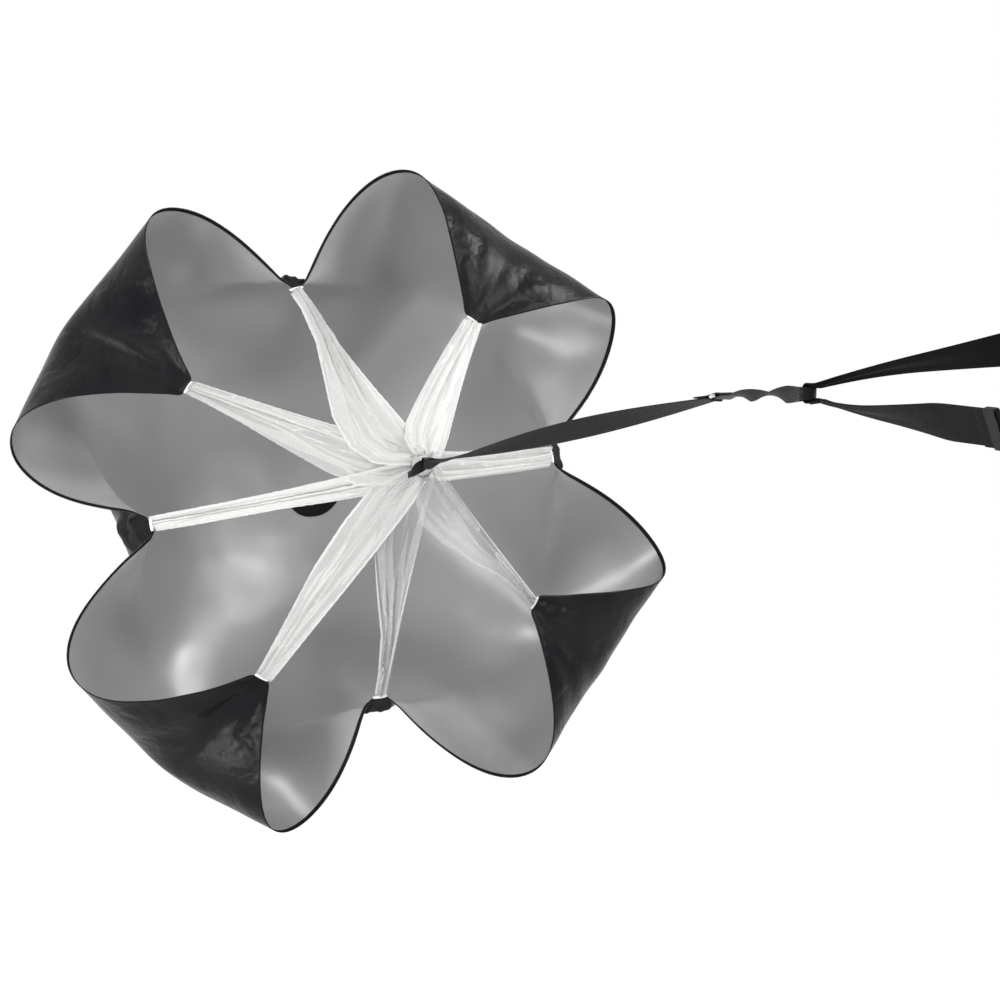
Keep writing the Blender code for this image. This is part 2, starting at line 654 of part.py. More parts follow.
for a, b in knot_hook:
    path.append(KNOT - LEADER_WAY * a + LEADER_SIDE * b)
    turns.append(-1.5 * pi)
    widths.append(LEADER_WIDTH)
sides = [LEADER_SIDE * cos(turn) + LEADER_RISE * sin(turn) for turn in turns]
outlines = [flat_outline(width, STRAP_THICKNESS) for width in widths]
sweep("leader_strap", path, sides, outlines, KNOT, STRAP_LOOK)


# Waist belt, drawn in its own frame: X out, Y across, Z along the width of the webbing.
BELT = Matrix((OUT, ACROSS, TALL)).transposed().to_4x4()
UP_IN_BELT = BELT.inverted() @ UP
LEVEL_IN_BELT = BELT.inverted() @ LEVEL
KNOT_IN_BELT = Vector((-KNOT_REACH, 0, 0))


def belt_half(hand, stand):
    """One side of the loop, from the knot to the front: places, and how far along each is."""
    lead = KNOT_IN_BELT + UP_IN_BELT * BIGHT_HALF * hand + Vector((BIGHT_LEAD, 0, 0))
    hip = Vector((BELT_FRONT - BELT_HIP_RADIUS, hand * (BELT_HALF - BELT_HIP_RADIUS), 0))
    radius = BELT_HIP_RADIUS + stand
    to_hip = hip - lead
    gap = hypot(to_hip.x, to_hip.y)
    slope = atan2(to_hip.y * hand, to_hip.x) + asin(BELT_HIP_RADIUS / gap)
    run = sqrt(gap**2 - BELT_HIP_RADIUS**2)
    outward = Vector((-sin(slope), hand * cos(slope), 0))
    touch = lead + Vector((cos(slope), hand * sin(slope), 0)) * run
    touch.z = 0
    path = []
    for k in range(17):
        path.append(mix(lead, touch, k / 16) + outward * stand)
    for k in range(1, 11):
        turn = mix(pi / 2 + slope, 0, k / 10)
        path.append(hip + Vector((cos(turn), hand * sin(turn), 0)) * radius)
    return path, run


def belt_sections(path, run, from_knot):
    """Side vectors and outlines: gathered and turned at the knot, flat and upright at the hip."""
    sides = []
    outlines = []
    reach = 0.0
    for k, point in enumerate(path):
        if k:
            reach += (point - path[k - 1]).length
        travelled = reach + from_knot
        turned = min(max((run - TWIST_START - travelled) / (run - TWIST_START), 0), 1)
        width = mix(BIGHT_WIDTH, BELT_WIDTH, min(travelled / BIGHT_OPEN, 1))
        thick = mix(BIGHT_THICKNESS, BELT_THICKNESS, min(travelled / BIGHT_THIN, 1))
        upright = Vector((0, 0, 1))
        flat = -LEVEL_IN_BELT
        swing = turned * upright.angle(flat)
        level = (flat - upright * flat.dot(upright)).normalized()
        sides.append(upright * cos(swing) + level * sin(swing))
        outlines.append(flat_outline(width, thick))
    return sides, outlines


def to_world(path):
    return [BELT @ point for point in path]


def turned_to_world(sides):
    return [BELT.to_3x3() @ side for side in sides]


# Far side, with the bight through the leader's loop. Its front end is sewn round the bar of the
# socket half of the buckle.
far_path, far_run = belt_half(1, 0)
far_sides, far_outlines = belt_sections(far_path, far_run, 0)
sewn = [
    (0, BELT_HALF - BELT_HIP_RADIUS),
    (0, SOCKET_STRAP_SLOT),
    (BUCKLE_STAND + SOCKET_STRAP_OVER, SOCKET_STRAP_SLOT),
    (BUCKLE_STAND + SOCKET_STRAP_OVER, SOCKET_STRAP_TURN),
    (BELT_FOLD, SOCKET_STRAP_DOWN),
    (BELT_FOLD, BELT_HALF - BELT_HIP_RADIUS),
]
sewn_path = rounded([(BELT_FRONT + x, y, 0) for x, y in sewn], 0.5 * SOCKET_STRAP_OVER)
turn_end = SEWN_END - SOCKET_STRAP_DOWN
for k in range(1, 4):
    turn = turn_end * k / 3 / BELT_HIP_RADIUS
    hip = Vector((BELT_FRONT - BELT_HIP_RADIUS, BELT_HALF - BELT_HIP_RADIUS, 0))
    sewn_path.append(hip + Vector((cos(turn), sin(turn), 0)) * (BELT_HIP_RADIUS + BELT_FOLD))
near_path, near_run = belt_half(-1, 0)
near_way = (near_path[1] - near_path[0]).normalized()
far_way = (far_path[1] - far_path[0]).normalized()
bight = rounded(
    [
        near_path[0],
        near_path[0] - near_way * BIGHT_BEND,
        KNOT_IN_BELT - UP_IN_BELT * BIGHT_HALF,
        KNOT_IN_BELT + UP_IN_BELT * BIGHT_HALF,
        far_path[0] - far_way * BIGHT_BEND,
        far_path[0],
    ],
    BIGHT_BEND,
)
path = bight[:-1] + far_path + sewn_path[1:]
upright = Vector((0, 0, 1))
sides = [-LEVEL_IN_BELT] * (len(bight) - 1) + far_sides + [upright] * (len(sewn_path) - 1)
outlines = [flat_outline(BIGHT_WIDTH, BIGHT_THICKNESS)] * (len(bight) - 1) + far_outlines
outlines += [flat_outline(BELT_WIDTH, BELT_THICKNESS)] * (len(sewn_path) - 1)
sides = turned_to_world(sides)
sweep("belt_strap_socket_side", to_world(path), sides, outlines, (0, 0, 0), BELT_LOOK)

# Near side: from the knot round the hip, up through the plug half's ladder and back as the
# free end, which lies on the outside.
start = near_path[0] + (near_path[1] - near_path[0]).normalized() * BELT_SPLIT_GAP
near_path[0] = start
near_sides, near_outlines = belt_sections(near_path, near_run, BELT_SPLIT_GAP)
ladder = [
    (0, -(BELT_HALF - BELT_HIP_RADIUS)),
    (0, PLUG_STRAP_UP),
    (BUCKLE_STAND + PLUG_STRAP_OVER, PLUG_STRAP_UP),
    (BUCKLE_STAND + PLUG_STRAP_OVER, PLUG_STRAP_DOWN),
    (BELT_FOLD, PLUG_STRAP_DOWN),
    (BELT_FOLD, -(BELT_HALF - BELT_HIP_RADIUS)),
]
ladder_path = rounded([(BELT_FRONT + x, y, 0) for x, y in ladder], 0.5 * PLUG_STRAP_OVER)
tail_path = list(reversed(belt_half(-1, BELT_FOLD)[0]))
kept = []
reach = 0.0
for k in range(1, len(tail_path)):
    step = (tail_path[k] - tail_path[k - 1]).length
    kept.append(tail_path[k])
    if k > 10:
        reach += step
    if reach >= TAIL_RUN:
        break
path = near_path + ladder_path[1:] + kept
flat_run = len(path) - len(near_sides)
sides = turned_to_world(near_sides + [upright] * flat_run)
outlines = near_outlines + [flat_outline(BELT_WIDTH, BELT_THICKNESS)] * flat_run
sweep("belt_strap_plug_side", to_world(path), sides, outlines, (0, 0, 0), BELT_LOOK)

# Buckle: a side-release pair. The socket half has a window on each edge for the arms' heads and
# a bar for the sewn strap.
BUCKLE = BELT @ Matrix.Translation((BELT_FRONT + BUCKLE_STAND, 0, 0))
BUCKLE_AT = BUCKLE @ Vector((0, 0, 0))
FAR_OUT = 2 * BUCKLE_HALF
socket_low = (-SOCKET_THICK_HALF, SOCKET_MOUTH, -BUCKLE_HALF)
socket_high = (SOCKET_THICK_HALF, SOCKET_END, BUCKLE_HALF)
socket_mesh = box_mesh("buckle_socket", socket_low, socket_high, BUCKLE)
socket = add_object("buckle_socket", socket_mesh, BUCKLE_AT, BUCKLE_LOOK)
bevelled(socket, BUCKLE_ROUND)
THIN = CAVITY_THICK_HALF
cuts = (
    ("cut_cavity", (-THIN, -FAR_OUT, -CAVITY_HALF), (THIN, CAVITY_END, CAVITY_HALF)),
    ("cut_window", (-THIN, WINDOW_START, -FAR_OUT), (THIN, WINDOW_END, FAR_OUT)),
    ("cut_slot", (-FAR_OUT, SOCKET_SLOT_START, -SLOT_HALF), (FAR_OUT, SOCKET_BAR_START, SLOT_HALF)),
    ("cut_under", (-FAR_OUT, SOCKET_STRAP_SLOT, -RECESS_HALF), (-SOCKET_BAR_IN, FAR_OUT, RECESS_HALF)),
    ("cut_over", (SOCKET_BAR_OUT, SOCKET_STRAP_SLOT, -RECESS_HALF), (FAR_OUT, FAR_OUT, RECESS_HALF)),
)
for name, low, high in cuts:
    joined(socket, cutter(name, low, high, BUCKLE, BUCKLE_AT), "DIFFERENCE")

# Plug half: the ladder the belt is adjusted in, the middle prong, and two sprung arms.
plug_low = (-PLUG_THICK_HALF, PLUG_BACK, -PLUG_HALF)
plug_high = (PLUG_THICK_HALF, PLUG_FRONT, PLUG_HALF)
plug_mesh = box_mesh("buckle_plug", plug_low, plug_high, BUCKLE)
plug = add_object("buckle_plug", plug_mesh, BUCKLE_AT, BUCKLE_LOOK)
bevelled(plug, BUCKLE_ROUND)
prong_low = (-PRONG_THICK_HALF, PLUG_FRONT - BUCKLE_ROUND * 2, -PRONG_HALF)
prong_high = (PRONG_THICK_HALF, PRONG_END, PRONG_HALF)
prong = cutter("add_prong", prong_low, prong_high, BUCKLE, BUCKLE_AT)
bevelled(prong, BUTTON_ROUND, 1)
joined(plug, prong, "UNION")
cuts = (
    ("cut_slot_a", (-FAR_OUT, PLUG_SLOT_A[0], -SLOT_HALF), (FAR_OUT, PLUG_SLOT_A[1], SLOT_HALF)),
    ("cut_slot_b", (-FAR_OUT, PLUG_SLOT_B[0], -SLOT_HALF), (FAR_OUT, PLUG_SLOT_B[1], SLOT_HALF)),
    ("cut_top", (PLUG_BAR_HALF, PLUG_STRAP_DOWN, -RECESS_HALF), (FAR_OUT, PLUG_STRAP_UP, RECESS_HALF)),
    ("cut_tail", (-FAR_OUT, -FAR_OUT, -RECESS_HALF), (-PLUG_BAR_HALF, PLUG_STRAP_DOWN, RECESS_HALF)),
)
for name, low, high in cuts:
    joined(plug, cutter(name, low, high, BUCKLE, BUCKLE_AT), "DIFFERENCE")

for name, hand in (("release_arm_upper", 1), ("release_arm_lower", -1)):
    outline = [
        (ARM_BACK, ARM_IN),
        (ARM_NOSE_IN, ARM_IN),
        (ARM_NOSE, ARM_NOSE_OUT),
        (ARM_HEAD_FLAT, ARM_HEAD_OUT),
        (ARM_HEAD_BACK, ARM_HEAD_OUT),
        (ARM_HEAD_BACK, ARM_OUT),
        (ARM_BACK, ARM_OUT),
    ]
    mesh = bpy.data.meshes.new(name)
    bm = bmesh.new()
    near_face = []
    far_face = []
    for y, z in outline:
        near_face.append(bm.verts.new(BUCKLE @ Vector((-PRONG_THICK_HALF, y, hand * z))))
        far_face.append(bm.verts.new(BUCKLE @ Vector((PRONG_THICK_HALF, y, hand * z))))
    bm.faces.new(near_face)
    bm.faces.new(far_face)
    for k in range(len(outline)):
        nxt = (k + 1) % len(outline)
        bm.faces.new((near_face[k], near_face[nxt], far_face[nxt], far_face[k]))
    bmesh.ops.recalc_face_normals(bm, faces=bm.faces)
    bm.to_mesh(mesh)
    bm.free()
    arm = add_object(name, mesh, BUCKLE @ Vector((0, ARM_BACK, hand * ARM_AXIS)), BUCKLE_LOOK)
    bevelled(arm, BUTTON_ROUND, 1)

# Keeper: an elastic loop round the belt and its free end, on the straight part of the near side.
touch = near_path[16]
straight = (near_path[15] - touch).normalized()
keeper_middle = touch + straight * KEEPER_AT
outward = Vector((straight.y, -straight.x, 0)).normalized()
if outward.y > 0:
    outward = -outward
tall = straight.cross(outward).normalized()
half_tall = BELT_WIDTH / 2 + KEEPER_CLEAR + KEEPER_THICKNESS / 2
low_out = -(BELT_THICKNESS / 2 + KEEPER_CLEAR + KEEPER_THICKNESS / 2)
high_out = BELT_FOLD + BELT_THICKNESS / 2 + KEEPER_CLEAR + KEEPER_THICKNESS / 2
corners = [
    (0, -half_tall),
    (high_out, -half_tall),
    (high_out, half_tall),
    (low_out, half_tall),
    (low_out, -half_tall),
    (0, -half_tall),
]
keeper_plan = rounded([(a, b, 0) for a, b in corners], KEEPER_ROUND)[:-1]
keeper_path = [keeper_middle + outward * p.x + tall * p.y for p in keeper_plan]
keeper_outline = flat_outline(KEEPER_LENGTH, KEEPER_THICKNESS)
sweep(
    "tail_keeper",
    to_world(keeper_path),
    [BELT.to_3x3() @ straight] * len(keeper_path),
    [keeper_outline] * len(keeper_path),
    BELT @ keeper_middle,
    KEEPER_LOOK,
    closed=True,
)
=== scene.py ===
from math import asin, atan2, cos, hypot, pi, radians, sin, sqrt

import bmesh
import bpy
import numpy as np
from mathutils import Matrix, Vector


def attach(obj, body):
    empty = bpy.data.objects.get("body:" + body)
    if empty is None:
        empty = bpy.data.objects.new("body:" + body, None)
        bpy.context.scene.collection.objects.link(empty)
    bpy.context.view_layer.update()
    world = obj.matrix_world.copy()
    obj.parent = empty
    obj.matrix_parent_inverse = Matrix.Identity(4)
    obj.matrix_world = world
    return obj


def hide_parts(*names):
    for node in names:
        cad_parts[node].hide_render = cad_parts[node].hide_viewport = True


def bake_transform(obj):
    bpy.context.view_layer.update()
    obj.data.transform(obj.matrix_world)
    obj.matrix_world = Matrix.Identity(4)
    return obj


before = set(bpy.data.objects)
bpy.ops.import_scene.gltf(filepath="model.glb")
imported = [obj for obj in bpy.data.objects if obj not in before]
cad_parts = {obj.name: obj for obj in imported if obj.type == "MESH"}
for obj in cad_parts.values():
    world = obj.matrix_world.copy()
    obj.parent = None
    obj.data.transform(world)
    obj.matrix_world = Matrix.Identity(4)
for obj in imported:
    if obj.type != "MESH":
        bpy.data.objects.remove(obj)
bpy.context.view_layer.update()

# Camera: it stands in front of the runner's place, a little to one side, and looks back along
# the tether into the open canopy.
CAMERA_AT = Vector((2.310894, -1.077191, -0.291446))
CAMERA_LOOK = Vector((-0.9733, 0.2178, 0.0719)).normalized()


def added(name, data):
    """A new object in the scene that shows the data."""
    made = bpy.data.objects.new(name, data)
    bpy.context.scene.collection.objects.link(made)
    return made


camera = added("camera", bpy.data.cameras.new("camera"))
camera.data.lens = 100
camera.data.sensor_width = 36
camera.data.clip_start = 0.01
camera.data.clip_end = 60
camera.rotation_mode = "QUATERNION"
camera.location = CAMERA_AT
camera.rotation_quaternion = CAMERA_LOOK.to_track_quat("-Z", "Y")
bpy.context.scene.camera = camera
bpy.context.scene.view_settings.view_transform = "Standard"

# Tether: one black webbing strap, 25 mm wide, from the ring to the gather. It is twisted half a
# turn over its length. Its canopy end is a tall loop through the gather's strap, its other end a
# small loop round the ring, and both are folded back and sewn flat.
UP = Vector((0, 0, 1))
STRAP_THICKNESS = 0.0016
FOLD_GAP = 0.0024
HOOK_ROWS = 16


def heading(yaw_deg, pitch_deg):
    """The unit vector that points that way."""
    yaw = radians(yaw_deg)
    pitch = radians(pitch_deg)
    return Vector((cos(pitch) * cos(yaw), cos(pitch) * sin(yaw), sin(pitch)))


def mix(start, end, share):
    """The place or value that lies that share of the way from start to end."""
    return start + (end - start) * share


def stepped(shares, values, share):
    """The value at a share, on straight lines between the listed ones."""
    for k in range(len(shares) - 1):
        if share <= shares[k + 1]:
            return mix(values[k], values[k + 1], (share - shares[k]) / (shares[k + 1] - shares[k]))
    return values[-1]


def rounded(points, bend, steps=5):
    """The line through the points, with each corner drawn as a smooth bend."""
    path = [Vector(points[0])]
    for k in range(1, len(points) - 1):
        here = Vector(points[k])
        back = Vector(points[k - 1]) - here
        ahead = Vector(points[k + 1]) - here
        cut = min(bend, back.length / 2, ahead.length / 2)
        start = here + back.normalized() * cut
        end = here + ahead.normalized() * cut
        for step in range(steps + 1):
            share = step / steps
            path.append(start * (1 - share) ** 2 + here * 2 * share * (1 - share) + end * share**2)
    path.append(Vector(points[-1]))
    clean = [path[0]]
    for point in path[1:]:
        if (point - clean[-1]).length > bend / 1000:
            clean.append(point)
    return clean


def hook(radius, neck, tail):
    """A strap's end turned round a bar at the origin: along, across. It starts on the strap."""
    turned = [(neck, 0)]
    for k in range(HOOK_ROWS + 1):
        turn = -radians(75) - radians(210) * k / HOOK_ROWS
        turned.append((radius * cos(turn), radius * sin(turn)))
    return turned + [(neck, FOLD_GAP), (tail, FOLD_GAP)]


def drawn(name, bm):
    """A new object in the scene from a mesh that has been built, which is then let go."""
    mesh = bpy.data.meshes.new(name)
    bm.to_mesh(mesh)
    bm.free()
    return added(name, mesh)


def mapped(bm, places):
    """Writes each point's place on the flat cloth, in metres, to the UV map."""
    layer = bm.loops.layers.uv.new("cloth")
    for face in bm.faces:
        face.smooth = True
        for loop in face.loops:
            loop[layer].uv = places[loop.vert]


def ribbon(name, route, across, widths, columns=4, fold=None, cut=None, lean=0.0, first_along=0.0):
    """A flat strip laid along a route, with its cloth on the UV map.

    fold(along, share) lifts it off the flat, and lean turns that lift over to one side; cut is the
    cloth's own width where it is pleated.
    """
    bm = bmesh.new()
    rows = len(route)
    bmesh.ops.create_grid(bm, x_segments=columns, y_segments=rows - 1, size=0.5)
    reach = [0.0]
    for k in range(1, rows):
        reach.append(reach[-1] + (route[k] - route[k - 1]).length)
    cloth = {}
    for vert in bm.verts:
        share = vert.co.x + 0.5
        row = round((vert.co.y + 0.5) * (rows - 1))
        along = (route[min(row + 1, rows - 1)] - route[max(row - 1, 0)]).normalized()
        side = Vector(across[row])
        side = (side - along * side.dot(along)).normalized()
        lift = fold(reach[row], share) if fold else 0
        lifted = (along.cross(side) * cos(lean) + side * sin(lean)) * lift
        vert.co = route[row] + side * widths[row] * (share - 0.5) + lifted
        cloth[vert] = ((share - 0.5) * (cut or widths[row]), first_along + reach[row])
    mapped(bm, cloth)
    return drawn(name, bm)


def walled(piece, material, thickness, edge=0.0, inside=None):
    """Gives a flat piece its material and thickness, and takes the sharpness off its edges."""
    piece.data.materials.append(material)
    if inside:
        piece.data.materials.append(inside)
    wall = piece.modifiers.new("Wall", "SOLIDIFY")
    wall.thickness = thickness
    wall.offset = 0
    wall.material_offset = 1 if inside else 0
    if edge:
        soft = piece.modifiers.new("Edge", "BEVEL")
        soft.width = edge
        soft.segments = 2
        soft.limit_method = "ANGLE"
        soft.angle_limit = radians(60)


class Finish:
    """One value in a material. Arithmetic on it adds the Math nodes."""

    def __init__(self, tree, socket=None):
        self.tree = tree
        self.socket = socket

    def add(self, kind, settings=None, inputs=None, out=0):
        """Any other node: its type, its settings, then the values or links of its sockets."""
        node = self.tree.nodes.new(kind)
        for name, value in (settings or {}).items():
            setattr(node, name, value)
        for name, value in (inputs or {}).items():
            if isinstance(value, Finish):
                self.tree.links.new(value.socket, node.inputs[name])
            else:
                node.inputs[name].default_value = value
        return Finish(self.tree, None if out is None else node.outputs[out])

    def math(self, operation, other=0.0):
        return self.add("ShaderNodeMath", {"operation": operation}, {0: self, 1: other})

    def __add__(self, other):
        return self.math("ADD", other)

    def __sub__(self, other):
        return self.math("SUBTRACT", other)

    def __rsub__(self, other):
        return self.add("ShaderNodeMath", {"operation": "SUBTRACT"}, {0: other, 1: self})

    def __mul__(self, other):
        return self.math("MULTIPLY", other)

    def wave(self, period):
        """A wave from 0 to 1 with that period, in the value's own unit."""
        return (self * (2 * pi / period)).math("SINE") * 0.5 + 0.5

    def step(self, low, high):
        """0 below low, 1 above high, and smooth between them."""
        settings = {"interpolation_type": "SMOOTHSTEP"}
        return self.add("ShaderNodeMapRange", settings, {0: self, 1: low, 2: high})

    def blend(self, first, second):
        """The first colour where this is 0, the second where it is 1."""
        colours = {0: self, 6: (*first, 1), 7: (*second, 1)}
        return self.add("ShaderNodeMix", {"data_type": "RGBA"}, colours, 2)


def looks(name, roughness, specular=0.5, metallic=0.0):
    """A new material: itself, its start for adding nodes, and its shader."""
    made = bpy.data.materials.new(name)
    made.use_nodes = True
    shader = made.node_tree.nodes["Principled BSDF"]
    shader.inputs["Roughness"].default_value = roughness
    shader.inputs["Specular IOR Level"].default_value = specular
    shader.inputs["Metallic"].default_value = metallic
    return made, Finish(made.node_tree), shader


def feed(start, shader, **values):
    """Links each named value to the shader's input of that kind."""
    names = {"colour": "Base Color", "roughness": "Roughness", "alpha": "Alpha", "normal": "Normal"}
    for name, value in values.items():
        start.tree.links.new(value.socket, shader.inputs[names[name]])


def bumped(start, height, distance, strength=1.0, under=None):
    """A bump from a height, on top of another one if there is one under it."""
    inputs = {"Height": height, "Distance": distance, "Strength": strength}
    if under:
        inputs["Normal"] = under
    return start.add("ShaderNodeBump", None, inputs)


def cloth_places(start):
    """Across and along the cloth, in metres."""
    uv = start.add("ShaderNodeUVMap", {"uv_map": "cloth"})
    parts = uv.add("ShaderNodeSeparateXYZ", None, {0: uv})
    return parts, Finish(start.tree, parts.socket.node.outputs[1])


def mottle(start, scale, detail=3.0, coordinates=None, rough=0.5):
    """Soft noise from 0 to 1 on the object's own coordinates, in features per metre."""
    place = coordinates or start.add("ShaderNodeTexCoord", None, None, 3)
    inputs = {"Vector": place, "Scale": scale, "Detail": detail, "Roughness": rough}
    return start.add("ShaderNodeTexNoise", None, inputs)


def webbing(name, half_width, dark, pale, pitch, roughness, specular):
    """Black woven webbing: slanted ribs either side of the middle and thicker selvedges."""
    made, start, shader = looks(name, roughness, specular)
    across, along = cloth_places(start)
    off_middle = across.math("ABSOLUTE")
    ribs = (along + off_middle * 0.9).wave(pitch)
    warp = across.wave(pitch * 1.35)
    weave = ribs * 0.65 + warp * 0.35
    selvedge = off_middle.step(half_width - 0.0022, half_width - 0.0012)
    worn = mottle(start, 45, 4)
    shade = weave * 0.7 + worn * 0.5 + selvedge * 0.25
    feed(
        start,
        shader,
        colour=shade.step(0.1, 1.3).blend(dark, pale),
        roughness=worn * 0.2 + (roughness - 0.1),
        normal=bumped(start, weave + selvedge * 0.6, 0.00045, 0.8),
    )
    return made


STRAP_DARK = (0.004, 0.004, 0.005)
STRAP_PALE = (0.02, 0.02, 0.021)
STRAP_BLACK = webbing("strap_webbing", 0.0125, STRAP_DARK, STRAP_PALE, 0.0016, 0.6, 0.06)

SEWN_END = 0.04
STRAP_EDGE = 0.00045
TETHER_WIDTH = 0.025
TETHER_EYE_WIDTH = 0.012
TETHER_RING_WIDTH = 0.01
EYE_HEIGHT_HALF = 0.0079
OUT = heading(32.0, -1.86)
KNOT = -OUT * 0.345
LEADER_WAY = heading(4.84, -5.32)
LEADER_LEVEL = heading(4.84, 0)
RING = KNOT - LEADER_WAY * 0.227
TETHER_WAY = heading(4.78, -1.09)
TETHER_LENGTH = 1.157
GATHER = RING - TETHER_WAY * TETHER_LENGTH
TETHER_SIDE = UP.cross(TETHER_WAY).normalized()
TETHER_RISE = TETHER_WAY.cross(TETHER_SIDE)
RING_RADIUS = 0.012

eye = [
    (0.067, FOLD_GAP),
    (0.037, FOLD_GAP),
    (0.01, EYE_HEIGHT_HALF),
    (0, EYE_HEIGHT_HALF),
    (0, -EYE_HEIGHT_HALF),
    (0.01, -EYE_HEIGHT_HALF),
    (0.037, 0),
    (0.067, 0),
]
eye_path = rounded([GATHER + TETHER_WAY * a + TETHER_RISE * b for a, b in eye], 0.004, 7)
hook_at = RING - TETHER_WAY * (RING_RADIUS - 0.0006)
hook_plan = hook(radius=0.0037, neck=0.016, tail=SEWN_END)
ring_hook = [hook_at - TETHER_WAY * a + TETHER_RISE * b for a, b in hook_plan]
route = list(eye_path)
turns = [0.0] * len(route)
widths = []
for point in eye_path:
    ahead = (point - GATHER).dot(TETHER_WAY)
    widths.append(stepped((0, 0.01, 0.037), (TETHER_EYE_WIDTH, TETHER_EYE_WIDTH, TETHER_WIDTH), ahead))
TETHER_ROWS = 120
for k in range(1, TETHER_ROWS + 1):
    route.append(mix(eye_path[-1], hook_at - TETHER_WAY * SEWN_END, k / TETHER_ROWS))
    turns.append(pi * k / TETHER_ROWS)
    widths.append(TETHER_WIDTH)
for point in ring_hook:
    route.append(point)
    turns.append(pi)
    back = max((hook_at - point).dot(TETHER_WAY), 0)
    hook_widths = (TETHER_RING_WIDTH, TETHER_RING_WIDTH, TETHER_WIDTH)
    widths.append(stepped((0, 0.008, SEWN_END), hook_widths, back))
across = [TETHER_SIDE * cos(turn) + TETHER_RISE * sin(turn) for turn in turns]
tether = ribbon("tether", route, across, widths)
walled(tether, STRAP_BLACK, STRAP_THICKNESS, STRAP_EDGE)
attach(tether, "tether")
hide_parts("tether_strap")
tether_line = [mix(GATHER, RING, k / 30) for k in range(31)]

# Ring: a small D of plated steel wire, lying level. The tether pulls on its bow and the leader
# holds its straight bar.
RING_WIRE_RADIUS = 0.00175
RING_BAR_REACH = 0.004
RING_SIDE = UP.cross(LEADER_LEVEL).normalized()
bow = []
for k in range(33):
    turn = pi / 2 + pi * k / 32
    bow.append((RING_RADIUS * cos(turn), RING_RADIUS * sin(turn)))
bar = [
    (0, -RING_RADIUS, 0),
    (RING_BAR_REACH, -RING_RADIUS, 0),
    (RING_BAR_REACH, RING_RADIUS, 0),
    (0, RING_RADIUS, 0),
]
ring_plan = bow + [(p.x, p.y) for p in rounded(bar, 0.003, 8)[1:-1]]
curve = bpy.data.curves.new("ring", "CURVE")
curve.dimensions = "3D"
curve.bevel_depth = RING_WIRE_RADIUS
curve.bevel_resolution = 6
spline = curve.splines.new("POLY")
spline.use_cyclic_u = True
spline.points.add(len(ring_plan) - 1)
for point, (a, b) in zip(spline.points, ring_plan):
    point.co = (*(RING + LEADER_LEVEL * a + RING_SIDE * b), 1)
bent = added("ring", curve)
mesh = bpy.data.meshes.new_from_object(bent.evaluated_get(bpy.context.evaluated_depsgraph_get()))
bpy.data.objects.remove(bent)
mesh.shade_smooth()
ring = added("ring", mesh)
steel, start, shader = looks("ring_steel", 0.25, 0.5, 1.0)
drawn_marks = mottle(start, 900, 2)
rubbed = mottle(start, 120, 4)
feed(
    start,
    shader,
    colour=rubbed.step(0.3, 0.75).blend((0.46, 0.46, 0.45), (0.66, 0.66, 0.64)),
    roughness=rubbed * 0.25 + 0.14,
    normal=bumped(start, drawn_marks, 0.00005, 0.5),
)
ring.data.materials.append(steel)
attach(ring, "leader")
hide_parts("d_ring")

# Leader: a short black strap, twisted three quarters of a turn, from the ring's bar to the loop
# that the waist belt passes through. Its ends are folded back and sewn.
LEADER_WIDTH = 0.018
LEADER_MID_WIDTH = 0.012
LEADER_LOOP_WIDTH = 0.0125
LEADER_SIDE = UP.cross(LEADER_WAY).normalized()
LEADER_RISE = LEADER_WAY.cross(LEADER_SIDE)
LEADER_ROWS = 60
LEADER_TWIST = -1.5 * pi
KNOT_LOOP_RADIUS = 0.0082
KNOT_SEWN_END = 0.05
bar_at = RING + LEADER_LEVEL * RING_BAR_REACH
bar_hook = reversed(hook(radius=0.0029, neck=0.016, tail=SEWN_END))
route = [bar_at + LEADER_WAY * a + LEADER_RISE * b for a, b in bar_hook]
turns = [0.0] * len(route)
widths = [LEADER_WIDTH] * len(route)
for k in range(LEADER_ROWS + 1):
    share = k / LEADER_ROWS
    route.append(mix(bar_at + LEADER_WAY * SEWN_END, KNOT - LEADER_WAY * KNOT_SEWN_END, share))
    turns.append(LEADER_TWIST * share)
    widths.append(mix(LEADER_WIDTH, LEADER_MID_WIDTH, sin(pi * share)))
loop_widths = (LEADER_LOOP_WIDTH, LEADER_LOOP_WIDTH, LEADER_WIDTH)
for a, b in hook(radius=KNOT_LOOP_RADIUS, neck=0.026, tail=KNOT_SEWN_END):
    route.append(KNOT - LEADER_WAY * a + LEADER_SIDE * b)
    turns.append(LEADER_TWIST)
    widths.append(stepped((0, 0.014, SEWN_END), loop_widths, max(a, 0)))
across = [LEADER_SIDE * cos(turn) + LEADER_RISE * sin(turn) for turn in turns]
leader = ribbon("leader", route, across, widths)
leader_black = webbing("leader_webbing", 0.009, STRAP_DARK, STRAP_PALE, 0.0015, 0.45, 0.14)
walled(leader, leader_black, STRAP_THICKNESS, STRAP_EDGE)
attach(leader, "leader")
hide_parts("leader_strap")

# Waist belt: one strap of 38 mm black webbing. Bunched up, it passes through the leader's loop,
# then opens out flat and upright round the waist. Its far end is sewn round the buckle's socket,
# its near end is laced through the plug's ladder and lies back on itself.
BELT_WIDTH = 0.038
BELT_THICKNESS = 0.0018
BELT_EDGE = 0.0005
BELT_FOLD = 0.0022
BELT_HALF = 0.13
HIP_RADIUS = 0.07
BELT_FRONT = 0.095
BIGHT_WIDTH = 0.012
BIGHT_HALF = 0.014
PINCH = 0.0055
PINCH_REACH = 0.1
BUCKLE_STAND = 0.0054
KNOT_LEAD = 0.02
STRAIGHT_ROWS = 48
HIP_ROWS = 24
LEVEL = UP.cross(OUT).normalized()
RISE = OUT.cross(LEVEL)
ACROSS = LEVEL * cos(radians(28)) + RISE * sin(radians(28))
TALL = OUT.cross(ACROSS)
BELT = Matrix((OUT, ACROSS, TALL)).transposed().to_4x4()
